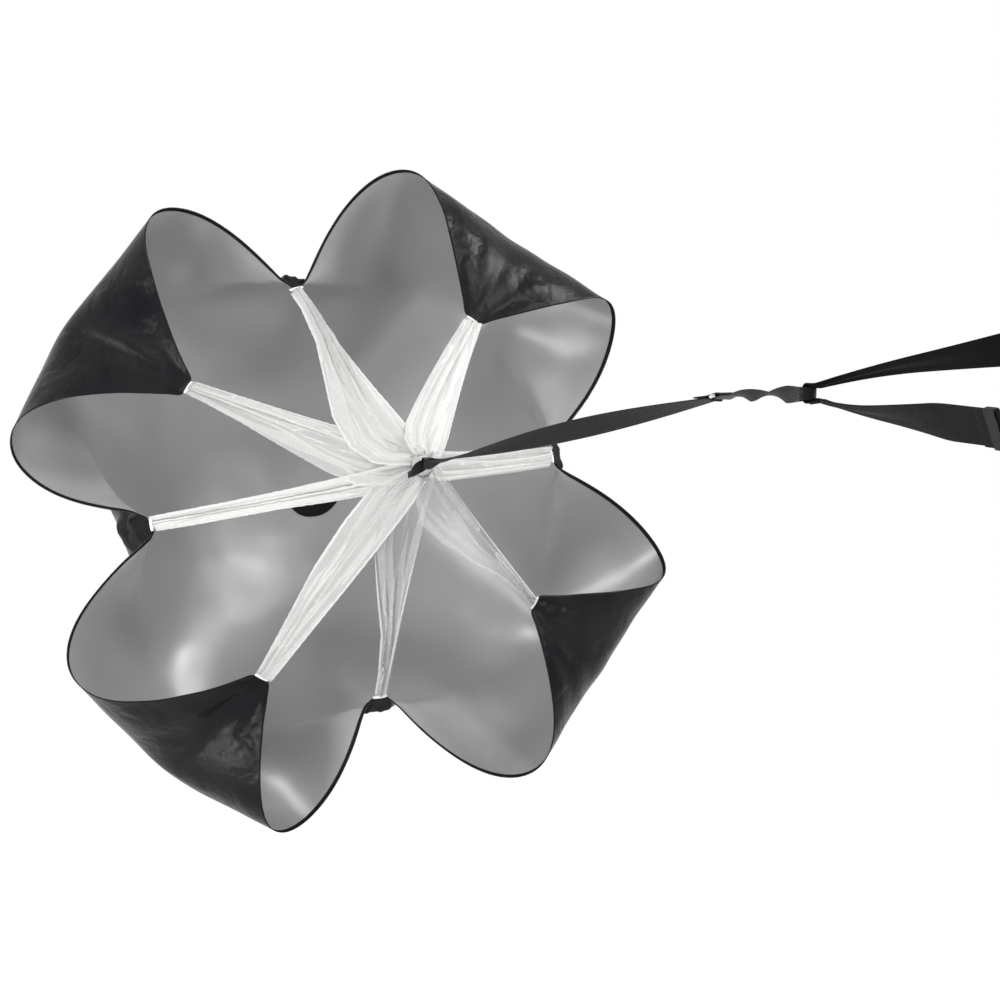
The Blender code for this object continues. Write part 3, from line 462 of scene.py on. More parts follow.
UP_IN_BELT = BELT.inverted() @ UP
LEVEL_IN_BELT = BELT.inverted() @ LEVEL
KNOT_IN_BELT = Vector((-0.345, 0, 0))


def belt_half(hand, stand):
    """One side of the loop, from the knot to the front, and the length of its straight part."""
    lead = KNOT_IN_BELT + UP_IN_BELT * BIGHT_HALF * hand + Vector((KNOT_LEAD, 0, 0))
    hip = Vector((BELT_FRONT - HIP_RADIUS, hand * (BELT_HALF - HIP_RADIUS), 0))
    to_hip = hip - lead
    gap = hypot(to_hip.x, to_hip.y)
    slope = atan2(to_hip.y * hand, to_hip.x) + asin(HIP_RADIUS / gap)
    run = sqrt(gap**2 - HIP_RADIUS**2)
    outward = Vector((-sin(slope), hand * cos(slope), 0))
    touch = lead + Vector((cos(slope), hand * sin(slope), 0)) * run
    touch.z = 0
    path = []
    for k in range(STRAIGHT_ROWS + 1):
        loose = min(run * k / STRAIGHT_ROWS / PINCH_REACH, 1)
        pinched = UP_IN_BELT * hand * PINCH * (1 - loose) ** 2
        path.append(mix(lead, touch, k / STRAIGHT_ROWS) + outward * stand - pinched)
    for k in range(1, HIP_ROWS + 1):
        turn = mix(pi / 2 + slope, 0, k / HIP_ROWS)
        path.append(hip + Vector((cos(turn), hand * sin(turn), 0)) * (HIP_RADIUS + stand))
    return path, run


UPRIGHT_RUN = 0.13
OPENING_RUN = 0.2


def belt_spread(path, run):
    """Side vectors and widths: bunched and turned at the knot, flat and upright at the hip."""
    sides = []
    spread = []
    reach = 0.0
    upright = Vector((0, 0, 1))
    flat = -LEVEL_IN_BELT
    level = (flat - upright * flat.dot(upright)).normalized()
    for k, point in enumerate(path):
        if k:
            reach += (point - path[k - 1]).length
        turned = min(max((run - UPRIGHT_RUN - reach) / (run - UPRIGHT_RUN), 0), 1)
        swing = turned * upright.angle(flat)
        sides.append(upright * cos(swing) + level * sin(swing))
        spread.append(mix(BIGHT_WIDTH, BELT_WIDTH, min(reach / OPENING_RUN, 1)))
    return sides, spread


CREASE_LIFT = 0.0016
CREASE_RUN = 0.15


def bunched(knot_share):
    """How the webbing is creased lengthways where it is bunched, and flat where it has opened."""

    def lift(along, share):
        return knot_share(along) * CREASE_LIFT * cos(2 * pi * 1.5 * share)

    return lift


SOCKET_BAR = (0.028, 0.0368)
BELT_SEAM = (0.043, 0.07)
PLUG_BAR = (0.0105, 0.0195)
FREE_END = 0.086
far_path, far_run = belt_half(1, 0)
far_sides, far_spread = belt_spread(far_path, far_run)
sewn = [
    (0, BELT_HALF - HIP_RADIUS),
    (0, SOCKET_BAR[0]),
    (BUCKLE_STAND + 0.0036, SOCKET_BAR[0]),
    (BUCKLE_STAND + 0.0036, SOCKET_BAR[1]),
    (BELT_FOLD, BELT_SEAM[0]),
    (BELT_FOLD, BELT_HALF - HIP_RADIUS),
]
sewn_path = rounded([(BELT_FRONT + x, y, 0) for x, y in sewn], 0.0018)
for k in range(1, 7):
    turn = (BELT_SEAM[1] - BELT_SEAM[0]) * k / 6 / HIP_RADIUS
    hip = Vector((BELT_FRONT - HIP_RADIUS, BELT_HALF - HIP_RADIUS, 0))
    sewn_path.append(hip + Vector((cos(turn), sin(turn), 0)) * (HIP_RADIUS + BELT_FOLD))
near_path, near_run = belt_half(-1, 0)
near_way = (near_path[1] - near_path[0]).normalized()
far_way = (far_path[1] - far_path[0]).normalized()
bight = rounded(
    [
        near_path[0],
        near_path[0] - near_way * 0.006,
        KNOT_IN_BELT - UP_IN_BELT * (BIGHT_HALF - PINCH),
        KNOT_IN_BELT + UP_IN_BELT * (BIGHT_HALF - PINCH),
        far_path[0] - far_way * 0.006,
        far_path[0],
    ],
    0.004,
)
route = [BELT @ point for point in bight[:-1] + far_path + sewn_path[1:]]
upright = Vector((0, 0, 1))
across = [-LEVEL_IN_BELT] * (len(bight) - 1) + far_sides + [upright] * (len(sewn_path) - 1)
across = [BELT.to_3x3() @ side for side in across]
widths = [BIGHT_WIDTH] * (len(bight) - 1) + far_spread + [BELT_WIDTH] * (len(sewn_path) - 1)
belt_far = ribbon(
    "belt_far",
    route,
    across,
    widths,
    12,
    bunched(lambda along: min(max(1 - (along - 0.07) / CREASE_RUN, 0), 1)),
)
BELT_DARK = (0.003, 0.003, 0.004)
BELT_PALE = (0.014, 0.014, 0.015)
belt_black = webbing("belt_webbing", 0.019, BELT_DARK, BELT_PALE, 0.0019, 0.55, 0.05)
walled(belt_far, belt_black, BELT_THICKNESS, BELT_EDGE)
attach(belt_far, "belt")
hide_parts("belt_strap_socket_side")

near_path[0] = near_path[0] + near_way * 0.0004
near_sides, near_spread = belt_spread(near_path, near_run)
ladder = [
    (0, -(BELT_HALF - HIP_RADIUS)),
    (0, -PLUG_BAR[0]),
    (BUCKLE_STAND + 0.0034, -PLUG_BAR[0]),
    (BUCKLE_STAND + 0.0034, -PLUG_BAR[1]),
    (BELT_FOLD, -PLUG_BAR[1]),
    (BELT_FOLD, -(BELT_HALF - HIP_RADIUS)),
]
ladder_path = rounded([(BELT_FRONT + x, y, 0) for x, y in ladder], 0.0017)
tail = list(reversed(belt_half(-1, BELT_FOLD)[0]))[1:]
hip_end = tail[HIP_ROWS - 1]
tail_kept = [
    point for k, point in enumerate(tail) if k < HIP_ROWS or (point - hip_end).length < FREE_END
]
near_route = near_path + ladder_path[1:] + tail_kept
laid = len(near_route) - len(near_sides)
across = [BELT.to_3x3() @ side for side in near_sides + [upright] * laid]
route = [BELT @ point for point in near_route]
belt_near = ribbon(
    "belt_near",
    route,
    across,
    near_spread + [BELT_WIDTH] * laid,
    12,
    bunched(lambda along: min(max(1 - (along - 0.02) / CREASE_RUN, 0), 1)),
)
walled(belt_near, belt_black, BELT_THICKNESS, BELT_EDGE)
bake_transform(belt_near)
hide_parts("belt_strap_plug_side")

# Buckle: a side-release pair moulded in black acetal, with a fine spark-eroded grain. The CAD
# shapes stay and only take the finish.
acetal, start, shader = looks("buckle_acetal", 0.42, 0.5)
grain = mottle(start, 2600, 2)
handled = mottle(start, 60, 4)
feed(
    start,
    shader,
    colour=handled.step(0.35, 0.7).blend((0.011, 0.011, 0.012), (0.022, 0.022, 0.023)),
    roughness=handled * 0.2 + 0.32,
    normal=bumped(start, grain, 0.00006, 0.6),
)
for name in ("buckle_socket", "buckle_plug", "release_arm_upper", "release_arm_lower"):
    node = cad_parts[name]
    node.data.materials.clear()
    node.data.materials.append(acetal)

# Keeper: a loop of black ribbed elastic round the belt and its free end. The CAD shape stays.
elastic, start, shader = looks("keeper_elastic", 0.8, 0.3)
place = start.add("ShaderNodeTexCoord", None, None, 3)
belt_way = tuple(BELT.to_3x3() @ near_way)
dot = {"operation": "DOT_PRODUCT"}
along_belt = start.add("ShaderNodeVectorMath", dot, {0: place, 1: belt_way}, 1)
up_belt = start.add("ShaderNodeVectorMath", dot, {0: place, 1: tuple(TALL)}, 1)
ribs = along_belt.wave(0.0016) * 0.7 + up_belt.wave(0.0009) * 0.3
feed(
    start,
    shader,
    colour=ribs.step(0.1, 1.0).blend((0.007, 0.007, 0.008), (0.035, 0.035, 0.037)),
    normal=bumped(start, ribs, 0.0004, 0.8),
)
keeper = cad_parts["tail_keeper"]
keeper.data.materials.clear()
keeper.data.materials.append(elastic)

# Canopy sheet: one square of thin nylon, 1.35 m finished, black and glossy outside and coated
# grey inside. It is held at its four corners and the middles of its four sides, and the air
# blows it into eight lobes: the sheet is relaxed here as springs under pressure, from flat.
SHEET_HALF = 0.675
SHEET_TURN_DEG = 12.8
GATHER_AHEAD = 0.627
LINE_ANGLES_DEG = (11.8, 56.0, 106.2, 148.2, 189.1, 243.3, 277.5, 330.0)
LINE_RADIUS_SHARES = (1.0, 1.04, 1.03, 0.945, 0.985, 0.985, 0.98, 1.03)
LINE_RADIUS = SHEET_HALF * 0.5215
MOUTH = GATHER - Vector((GATHER_AHEAD, 0, 0))
line_ends = []
for angle, share in zip(LINE_ANGLES_DEG, LINE_RADIUS_SHARES):
    reach = LINE_RADIUS * share
    line_ends.append((0, reach * cos(radians(angle)), reach * sin(radians(angle))))

CELLS = 60
middle = CELLS // 2
AROUND = ((1, 0), (1, 1), (0, 1), (-1, 1), (-1, 0), (-1, -1), (0, -1), (1, -1))
HELD = [(middle + middle * a, middle + middle * b) for a, b in AROUND]
BAND_END_RADIUS = 0.014
BAND_END_BACK = 0.028
BAND_ENDS = []
for line in range(8):
    end_angle = radians(SHEET_TURN_DEG + 45 * line)
    spoke = Vector((0, cos(end_angle), sin(end_angle)))
    BAND_ENDS.append(Vector((GATHER_AHEAD - BAND_END_BACK, 0, 0)) + spoke * BAND_END_RADIUS)

# Held points: a patch keeps the middle of a side flat, in line with its band, and the tab gathers
# the hem there. Each row is the steps in from the hem and half the drawn width between
# neighbouring points. A corner is folded back under its patch, which leaves a blunt tip.
PATCH_ROWS = {
    0: ((0, 0.012), (1, 0.017), (2, 0.021)),
    2: ((0, 0.007), (1, 0.011), (2, 0.017)),
    4: ((0, 0.014), (1, 0.019), (2, 0.021), (3, 0.022), (4, 0.0225)),
    6: ((0, 0.012), (1, 0.017), (2, 0.021)),
}
PATCH_TURNS_DEG = {0: 0, 2: -28, 4: 21, 6: 0}
CORNER_HALF = 0.016
CORNER_BACK = 0.002
SPRING = 60
SLANT_SPRING = 21
BEND_SPRING = 0.15
SLACK = 0.02
STEPS = 5000
AIR_STEPS = 400  # over which the air comes on
DRAW_STEPS = 2000  # over which the held points are drawn to their places
TIME_STEP = 0.0022
PUSH = 2.2  # a time step over a point's mass
DRAG = 0.995
LAST_DRAG = 0.985
DISH_DEPTH = 0.02


def pull(places, forces, first, second, length, stiffness):
    """Springs between two sets of points; pushed together they give only the slack's share."""
    apart = places[second] - places[first]
    size = np.linalg.norm(apart, axis=-1, keepdims=True)
    longer = size - length
    longer = np.maximum(longer, 0) + SLACK * np.minimum(longer, 0)
    force = stiffness * longer / length * apart / size * cell
    forces[first] += force
    forces[second] -= force


def cell_areas(places):
    """The area of each cell of the sheet, as a vector square to the cell."""
    one = places[1:, 1:] - places[:-1, :-1]
    other = places[:-1, 1:] - places[1:, :-1]
    return 0.5 * np.cross(one, other)


side_places = np.linspace(-SHEET_HALF, SHEET_HALF, CELLS + 1)
cell = side_places[1] - side_places[0]
first_way, second_way = np.meshgrid(side_places, side_places, indexing="ij")
turn = radians(SHEET_TURN_DEG)
dish = -DISH_DEPTH * (1 - (first_way**2 + second_way**2) / SHEET_HALF**2)
level_way = cos(turn) * first_way - sin(turn) * second_way
upright_way = sin(turn) * first_way + cos(turn) * second_way
sheet_places = np.stack([dish, level_way, upright_way], -1)
held = []
for line, (row, column) in enumerate(HELD):
    end = Vector(line_ends[line])
    way = (BAND_ENDS[line] - end).normalized()
    spoke = end.normalized()
    tangent = Vector((0, -spoke.z, spoke.y))
    inward = (np.sign(middle - row), np.sign(middle - column))
    if line % 2:
        held.append(((row, column), tuple(end)))
        for place in ((row + inward[0], column), (row, column + inward[1])):
            flat_way = Vector(sheet_places[place] - sheet_places[row, column])
            hand = 1 if flat_way.dot(tangent) > 0 else -1
            held.append((place, tuple(end - way * CORNER_BACK + tangent * hand * CORNER_HALF)))
        continue
    level = (-inward[1], inward[0])
    flat_tangent = Vector(sheet_places[row + level[0], column + level[1]] - sheet_places[row, column])
    hand = 1 if flat_tangent.dot(tangent) > 0 else -1
    turned = Matrix.Rotation(radians(PATCH_TURNS_DEG[line]), 3, "X")
    way = turned @ way
    tangent = turned @ tangent
    for steps, half in PATCH_ROWS[line]:
        for side in (-1, 0, 1):
            place = (
                row + inward[0] * steps + level[0] * side,
                column + inward[1] * steps + level[1] * side,
            )
            held.append((place, tuple(end - way * steps * cell + tangent * side * hand * half)))
held_start = [sheet_places[place].copy() for place, target in held]
speed = np.zeros_like(sheet_places)
air_way = -1.0 if cell_areas(sheet_places)[middle, middle][0] > 0 else 1.0
S = np.s_
for step in range(STEPS):
    force = np.zeros_like(sheet_places)
    pull(sheet_places, force, S[:-1, :], S[1:, :], cell, SPRING)
    pull(sheet_places, force, S[:, :-1], S[:, 1:], cell, SPRING)
    pull(sheet_places, force, S[:-1, :-1], S[1:, 1:], cell * sqrt(2), SLANT_SPRING)
    pull(sheet_places, force, S[1:, :-1], S[:-1, 1:], cell * sqrt(2), SLANT_SPRING)
    for first, second in ((S[:-2, :], S[2:, :]), (S[:, :-2], S[:, 2:])):
        apart = sheet_places[second] - sheet_places[first]
        size = np.linalg.norm(apart, axis=-1, keepdims=True)
        bend = BEND_SPRING * np.minimum(size - 2 * cell, 0) / (2 * cell) * apart / size * cell
        force[first] += bend
        force[second] -= bend
    air = cell_areas(sheet_places) * min(1, step / AIR_STEPS) / 4 * air_way
    for corners in (S[:-1, :-1], S[1:, :-1], S[:-1, 1:], S[1:, 1:]):
        force[corners] += air
    speed = (speed + PUSH * force) * (DRAG if step < STEPS * 0.7 else LAST_DRAG)
    sheet_places = sheet_places + TIME_STEP * speed
    drawn_in = min(1, step / DRAW_STEPS)
    for k, (place, target) in enumerate(held):
        sheet_places[place] = held_start[k] * (1 - drawn_in) + np.array(target) * drawn_in
        speed[place] = 0


def eased(places):
    """The same sheet with ripples as short as two cells taken out along each side's direction."""
    for axis in (0, 1):
        turned = np.swapaxes(places, 0, axis)
        smooth = turned.copy()
        smooth[1:-1] = turned[:-2] / 4 + turned[1:-1] / 2 + turned[2:] / 4
        places = np.swapaxes(smooth, 0, axis)
    return places


def calmed(places):
    """The same with short ripples taken out, and most of the broad shape put back."""
    once = eased(places)
    return once + 0.55 * (once - eased(once))


CALM_PASSES = 5
CALM_FROM = 0.03  # this far from a held point the calmed sheet begins to take over
CALM_OVER = 0.08
near_held = np.full((CELLS + 1, CELLS + 1), SHEET_HALF)
for row, column in HELD:
    away = np.hypot(first_way - side_places[row], second_way - side_places[column])
    near_held = np.minimum(near_held, away)
sheet_places = calmed(sheet_places)
calm = sheet_places
for k in range(CALM_PASSES):
    calm = calmed(calm)
share = np.clip((near_held - CALM_FROM) / CALM_OVER, 0, 1)[..., None]
sheet_places = sheet_places * (1 - share) + calm * share
for place, target in held:
    sheet_places[place] = target

# Fine sheet: the relaxed sheet is drawn finer through the same places, with a closer pair of rows
# along the hem, and then takes the small creases that run out from each held point.
HEM_ROW = 0.0036
FINE = 208
fine_side = np.concatenate(
    [
        [-SHEET_HALF, HEM_ROW - SHEET_HALF],
        np.linspace(2 * HEM_ROW - SHEET_HALF, SHEET_HALF - 2 * HEM_ROW, FINE - 3),
        [SHEET_HALF - HEM_ROW, SHEET_HALF],
    ]
)


def four_shares(t):
    """How much a smooth line takes of four values in a row, at t between the middle two."""
    return (
        (-t + 2 * t**2 - t**3) / 2,
        (2 - 5 * t**2 + 3 * t**3) / 2,
        (t + 4 * t**2 - 3 * t**3) / 2,
        (t**3 - t**2) / 2,
    )


reached = np.zeros((FINE + 1, CELLS + 3))  # with a column past each end of the sheet
for k, place in enumerate(fine_side):
    at = min(max((place + SHEET_HALF) / cell, 0), CELLS)
    base = min(int(at), CELLS - 1)
    reached[k, base : base + 4] = four_shares(at - base)
between = reached[:, 1:-1].copy()
for end, inner in ((0, 1), (-1, -2)):
    between[:, end] += 2 * reached[:, end]
    between[:, inner] -= reached[:, end]
fine = np.einsum("ai,ijc,bj->abc", between, sheet_places, between) + np.array(MOUTH)


def outward(places):
    """The black side's direction at each point of the sheet."""
    way = np.cross(np.gradient(places, axis=0), np.gradient(places, axis=1))
    way /= np.linalg.norm(way, axis=-1, keepdims=True)
    return way if way[FINE // 2, FINE // 2][0] < 0 else -way


first_fine, second_fine = np.meshgrid(fine_side, fine_side, indexing="ij")
lift = np.zeros_like(first_fine)
CREASES = (11, 7, 13, 6, 12, 7, 10, 8)
CREASE_REACH = (0.05, 0.09)  # at the middle of a side, at a corner
CREASE_HEIGHT = (0.0012, 0.0022)
for k, (row, column) in enumerate(HELD):
    from_first = first_fine - side_places[row]
    from_second = second_fine - side_places[column]
    away = np.hypot(from_first, from_second)
    turned = np.arctan2(from_second, from_first)
    waver = 0.5 * np.sin(away * 31 + k * 1.7) + 0.3 * np.sin(away * 67 + k)
    fan = np.sin(turned * CREASES[k] + waver + k * 2.1)
    fan = fan + 0.5 * np.sin(turned * (CREASES[k] * 2 + 3) - waver + k)
    share = away / CREASE_REACH[k % 2]
    grown = share * np.exp(1 - share)
    lift += CREASE_HEIGHT[k % 2] * grown * fan
sheet_out = outward(fine)
fine = fine + sheet_out * lift[..., None]
sheet_out = outward(fine)


def faced(bm, outside):
    """Turns the faces so that they look the way that outside(vert) gives for the middle one."""
    bm.faces.ensure_lookup_table()
    bm.normal_update()
    middle_face = bm.faces[len(bm.faces) // 2]
    if middle_face.normal.dot(outside(middle_face.verts[0])) < 0:
        bmesh.ops.reverse_faces(bm, faces=bm.faces)


def sheet_grid(name, kept, stand):
    """The sheet, or the faces of it that kept(corners) keeps, stood off on its black side."""
    bm = bmesh.new()
    bmesh.ops.create_grid(bm, x_segments=FINE, y_segments=FINE, size=0.5)
    place = {}
    for vert in bm.verts:
        place[vert] = (round((vert.co.x + 0.5) * FINE), round((vert.co.y + 0.5) * FINE))
    mapped(bm, {vert: (fine_side[at[0]], fine_side[at[1]]) for vert, at in place.items()})
    dropped = [face for face in bm.faces if not kept([place[vert] for vert in face.verts])]
    for vert in bm.verts:
        at = place[vert]
        vert.co = Vector(fine[at] + sheet_out[at] * stand)
    if dropped:
        bmesh.ops.delete(bm, geom=dropped, context="FACES")
    faced(bm, lambda vert: Vector(sheet_out[place[vert]]))
    return drawn(name, bm)


def on_sheet(first, second, stand):
    """The point of the sheet at a place of the flat cloth, stood off on its black side."""
    steps = np.arange(FINE + 1)
    a = float(np.interp(first, fine_side, steps))
    b = float(np.interp(second, fine_side, steps))
    row = min(int(a), FINE - 1)
    column = min(int(b), FINE - 1)
    a -= row
    b -= column
    found = np.zeros(3)
    for step_a, share_a in ((0, 1 - a), (1, a)):
        for step_b, share_b in ((0, 1 - b), (1, b)):
            at = (row + step_a, column + step_b)
            found += (fine[at] + sheet_out[at] * stand) * share_a * share_b
    return Vector(found)


def sewn_on(name, cloth_place, columns, rows, stand):
    """A piece of cloth that lies on the sheet: cloth_place gives its flat places from shares."""
    bm = bmesh.new()
    bmesh.ops.create_grid(bm, x_segments=columns, y_segments=rows, size=0.5)
    places = {vert: cloth_place(vert.co.x + 0.5, vert.co.y + 0.5) for vert in bm.verts}
    mapped(bm, places)
    for vert, (first, second) in places.items():
        vert.co = on_sheet(first, second, stand)
    faced(bm, lambda vert: on_sheet(*places[vert], 0.01) - on_sheet(*places[vert], 0))
    return drawn(name, bm)


sheet = sheet_grid("canopy_sheet", lambda corners: True, 0)
black, start, shader = looks("sheet_black", 0.3, 0.09)
crumple = mottle(start, 11)
ridge = (crumple - 0.5).math("ABSOLUTE").math("MINIMUM", 0.1)
across, along = cloth_places(start)
weave = across.wave(0.0012) + along.wave(0.0012)
soft = bumped(start, ridge, 0.016, 0.8)
crisp = bumped(start, mottle(start, 55), 0.0022, 0.5, soft)
feed(
    start,
    shader,
    colour=crumple.step(0.3, 0.7).blend((0.004, 0.004, 0.005), (0.009, 0.009, 0.01)),
    roughness=crumple * 0.16 + 0.22,
    normal=bumped(start, weave, 0.00008, 0.4, crisp),
)
grey, start, shader = looks("sheet_grey", 0.36, 1.0)
cloud = mottle(start, 4, 2)
swell = mottle(start, 7, 1, rough=0.4)
across, along = cloth_places(start)
weave = across.wave(0.0012) + along.wave(0.0012)
soft = bumped(start, swell, 0.02, 0.5)
feed(
    start,
    shader,
    colour=cloud.step(0.25, 0.75).blend((0.205, 0.205, 0.205), (0.23, 0.23, 0.23)),
    roughness=swell * 0.1 + 0.29,
    normal=bumped(start, weave, 0.00006, 0.3, soft),
)
walled(sheet, black, 0.0005, inside=grey)
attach(sheet, "canopy")
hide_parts("canopy")

# Hem: the sheet's edge turned in twice to the grey side, 7 mm wide and black, and sewn.
HEM_STAND = 0.0009
SEAM_IN = 0.0052
hem = sheet_grid(
    "canopy_hem",
    lambda corners: any(min(min(c), FINE - max(c)) == 0 for c in corners)
    or all(min(min(c), FINE - max(c)) <= 2 for c in corners),
    -HEM_STAND,
)
hem_black, start, shader = looks("hem_black", 0.6, 0.06)
across, along = cloth_places(start)
edge_far = SHEET_HALF - across.math("ABSOLUTE").math("MAXIMUM", along.math("ABSOLUTE"))
seam = 1 - (edge_far - SEAM_IN).math("ABSOLUTE").step(0.0002, 0.0007)
stitches = (across + along).wave(0.0032).step(0.35, 0.6)
puckers = mottle(start, 240, 3)
feed(
    start,
    shader,
    colour=(seam * stitches).blend((0.006, 0.006, 0.007), (0.03, 0.03, 0.032)),
    normal=bumped(start, puckers - seam * 0.6, 0.0006, 0.7),
)
walled(hem, hem_black, 0.0007)
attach(hem, "canopy")

# Patches: a black woven patch is sewn on at each held point, outside at the middle of a side and
# inside at a corner. The two rows of stitching that hold it are not drawn.
patch_black, start, shader = looks("patch_black", 0.65, 0.06)
across, along = cloth_places(start)
weave = across.wave(0.0014) * along.wave(0.0014)
shade = weave * 0.6 + mottle(start, 70, 4) * 0.4
feed(
    start,
    shader,
    colour=shade.step(0.1, 0.9).blend((0.005, 0.005, 0.006), (0.016, 0.016, 0.017)),
    normal=bumped(start, weave, 0.00025, 0.7),
)
PATCH_DEEP = 0.046
PATCH_WIDE = 0.066
PATCH_NARROW = 0.05
PATCH_STAND = 0.0011
for line, (row, column) in enumerate(HELD):
    corner = line % 2 == 1
    at = (side_places[row], side_places[column])
    inward = (np.sign(-at[0]), np.sign(-at[1])) if corner else tuple(-np.array(at) / SHEET_HALF)

    def patch_place(share, deep, corner=corner, at=at, inward=inward):
        if corner:
            return at[0] + inward[0] * share * PATCH_DEEP, at[1] + inward[1] * deep * PATCH_DEEP
        wide = mix(PATCH_WIDE, PATCH_NARROW, deep) * (share - 0.5)
        deep *= PATCH_DEEP
        return at[0] + inward[0] * deep - inward[1] * wide, at[1] + inward[1] * deep + inward[0] * wide

    stand = -PATCH_STAND if corner else PATCH_STAND
    patch = sewn_on(f"sewn_patch_{line + 1}", patch_place, 16, 12, stand)
    walled(patch, patch_black, 0.0009, edge=0.0003)
    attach(patch, "canopy")
    kind = "corner" if corner else "mid_edge"
    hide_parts(f"{kind}_patch_{line + 1}")

# Pouch: the flat black pocket sewn to the inside of the sheet near its middle. Its upper edge is
# straight and its lower edge round.
POUCH_WIDTH = 0.092
POUCH_HEIGHT = 0.05
POUCH_OFF = (0.02, 0.014)


def pouch_place(share, rise):
    """The flat place on the sheet of a point of the pouch, from its shares across and up."""
    level = (share - 0.5) * POUCH_WIDTH
    bottom = -0.5 + 0.55 * abs(2 * share - 1) ** 2.5
    rise = mix(bottom, 0.5, rise) * POUCH_HEIGHT + level * 0.12 + POUCH_OFF[1]
    level += POUCH_OFF[0]
    spin = radians(-SHEET_TURN_DEG)
    return level * cos(spin) - rise * sin(spin), level * sin(spin) + rise * cos(spin)


pouch = sewn_on("pouch", pouch_place, 24, 16, -0.0014)
walled(pouch, patch_black, 0.0014, edge=0.0004)
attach(pouch, "canopy")
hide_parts("centre_pouch")

# Bands and tabs: eight strips of open white mesh, pleated lengthways, each sewn at the hem to a
# folded tab of white tape. A band's cloth is as wide all along: where it is drawn narrower its
# pleats stand deeper. One long edge of a band is taut and the other is blown to one side.
BAND_CUT = 0.096
BAND_FOLDS = 3
BAND_LEAN = 1.05
BAND_ROWS = 60
BAND_TILT = 0.45
BAND_BELLY = 0.003
BAND_STEPS = (0, 0.1, 0.3, 0.5, 0.7, 0.85, 0.94, 1)
BAND_SPREADS = (
    (0.026, 0.027, 0.029, 0.031, 0.034, 0.037, 0.037, 0.032),
    (0.026, 0.031, 0.042, 0.052, 0.062, 0.068, 0.06, 0.034),
    (0.016, 0.017, 0.03, 0.056, 0.084, 0.092, 0.078, 0.034),
    (0.016, 0.022, 0.038, 0.056, 0.072, 0.08, 0.066, 0.03),
    (0.02, 0.021, 0.022, 0.024, 0.03, 0.034, 0.032, 0.024),
    (0.028, 0.035, 0.048, 0.062, 0.068, 0.066, 0.056, 0.03),
    (0.01, 0.011, 0.02, 0.042, 0.064, 0.07, 0.058, 0.03),
    (0.008, 0.009, 0.021, 0.044, 0.064, 0.072, 0.06, 0.03),
)
BAND_BLOWN = (-1, 0.75, 1.1, 1, 1.3, -0.65, -1, -1.1)
# Nets per band: partly the folded layers, partly painted light; thin is painted shade, dense painted
# light.
BAND_NETS_AND_PAINTED_SHADE = ("middle", "dense", "dense", "middle", "dense", "middle", "thin", "thin")
NET_PITCH = 0.0024


def net(name, cover, edge_cover):
    """Open mesh: cover is how much of what lies behind it one layer hides, with its folds; its value
    per band also paints shade and light on the band.
    """
    made, start, shader = looks(name, 0.7, 0.1)
    across, along = cloth_places(start)
    one_way = ((across + along * 0.6) * (pi / NET_PITCH)).math("SINE").math("ABSOLUTE")
    other_way = ((across - along * 0.6) * (pi / NET_PITCH)).math("SINE").math("ABSOLUTE")
    threads = 1 - (one_way * other_way).step(0.16, 0.34)
    drawn_out = start.add("ShaderNodeCombineXYZ", None, {0: across, 1: along * 0.03})
    streak = mottle(start, 85, 1, drawn_out)
    panels = streak.step(0.44, 0.56)
    creases = 1 - (streak - 0.5).math("ABSOLUTE").step(0.003, 0.016)
    edge = across.math("ABSOLUTE").step(BAND_CUT / 2 - 0.005, BAND_CUT / 2 - 0.0035)
    shade = mottle(start, 60, 3) * 0.5 + threads * 0.5
    hidden = threads * 0.24 + panels * 0.2 + creases * 0.22 + (cover - 0.24)
    feed(
        start,
        shader,
        colour=shade.step(0.0, 0.9).blend((0.54, 0.54, 0.53), (0.68, 0.68, 0.67)),
        alpha=hidden.math("MAXIMUM", edge * edge_cover).math("MINIMUM", 1.0),
        normal=bumped(start, threads, 0.0003, 0.6),
    )
    return made


def fibres(name, roughness, scale, detail, dark, pale, depth):
    """Thick white cloth, uneven all over."""
    made, start, shader = looks(name, roughness, 0.3)
    ribs = mottle(start, scale, detail)
    colour = ribs.step(0.3, 0.7).blend(dark, pale)
    feed(start, shader, colour=colour, normal=bumped(start, ribs, depth, 0.7))
    return made
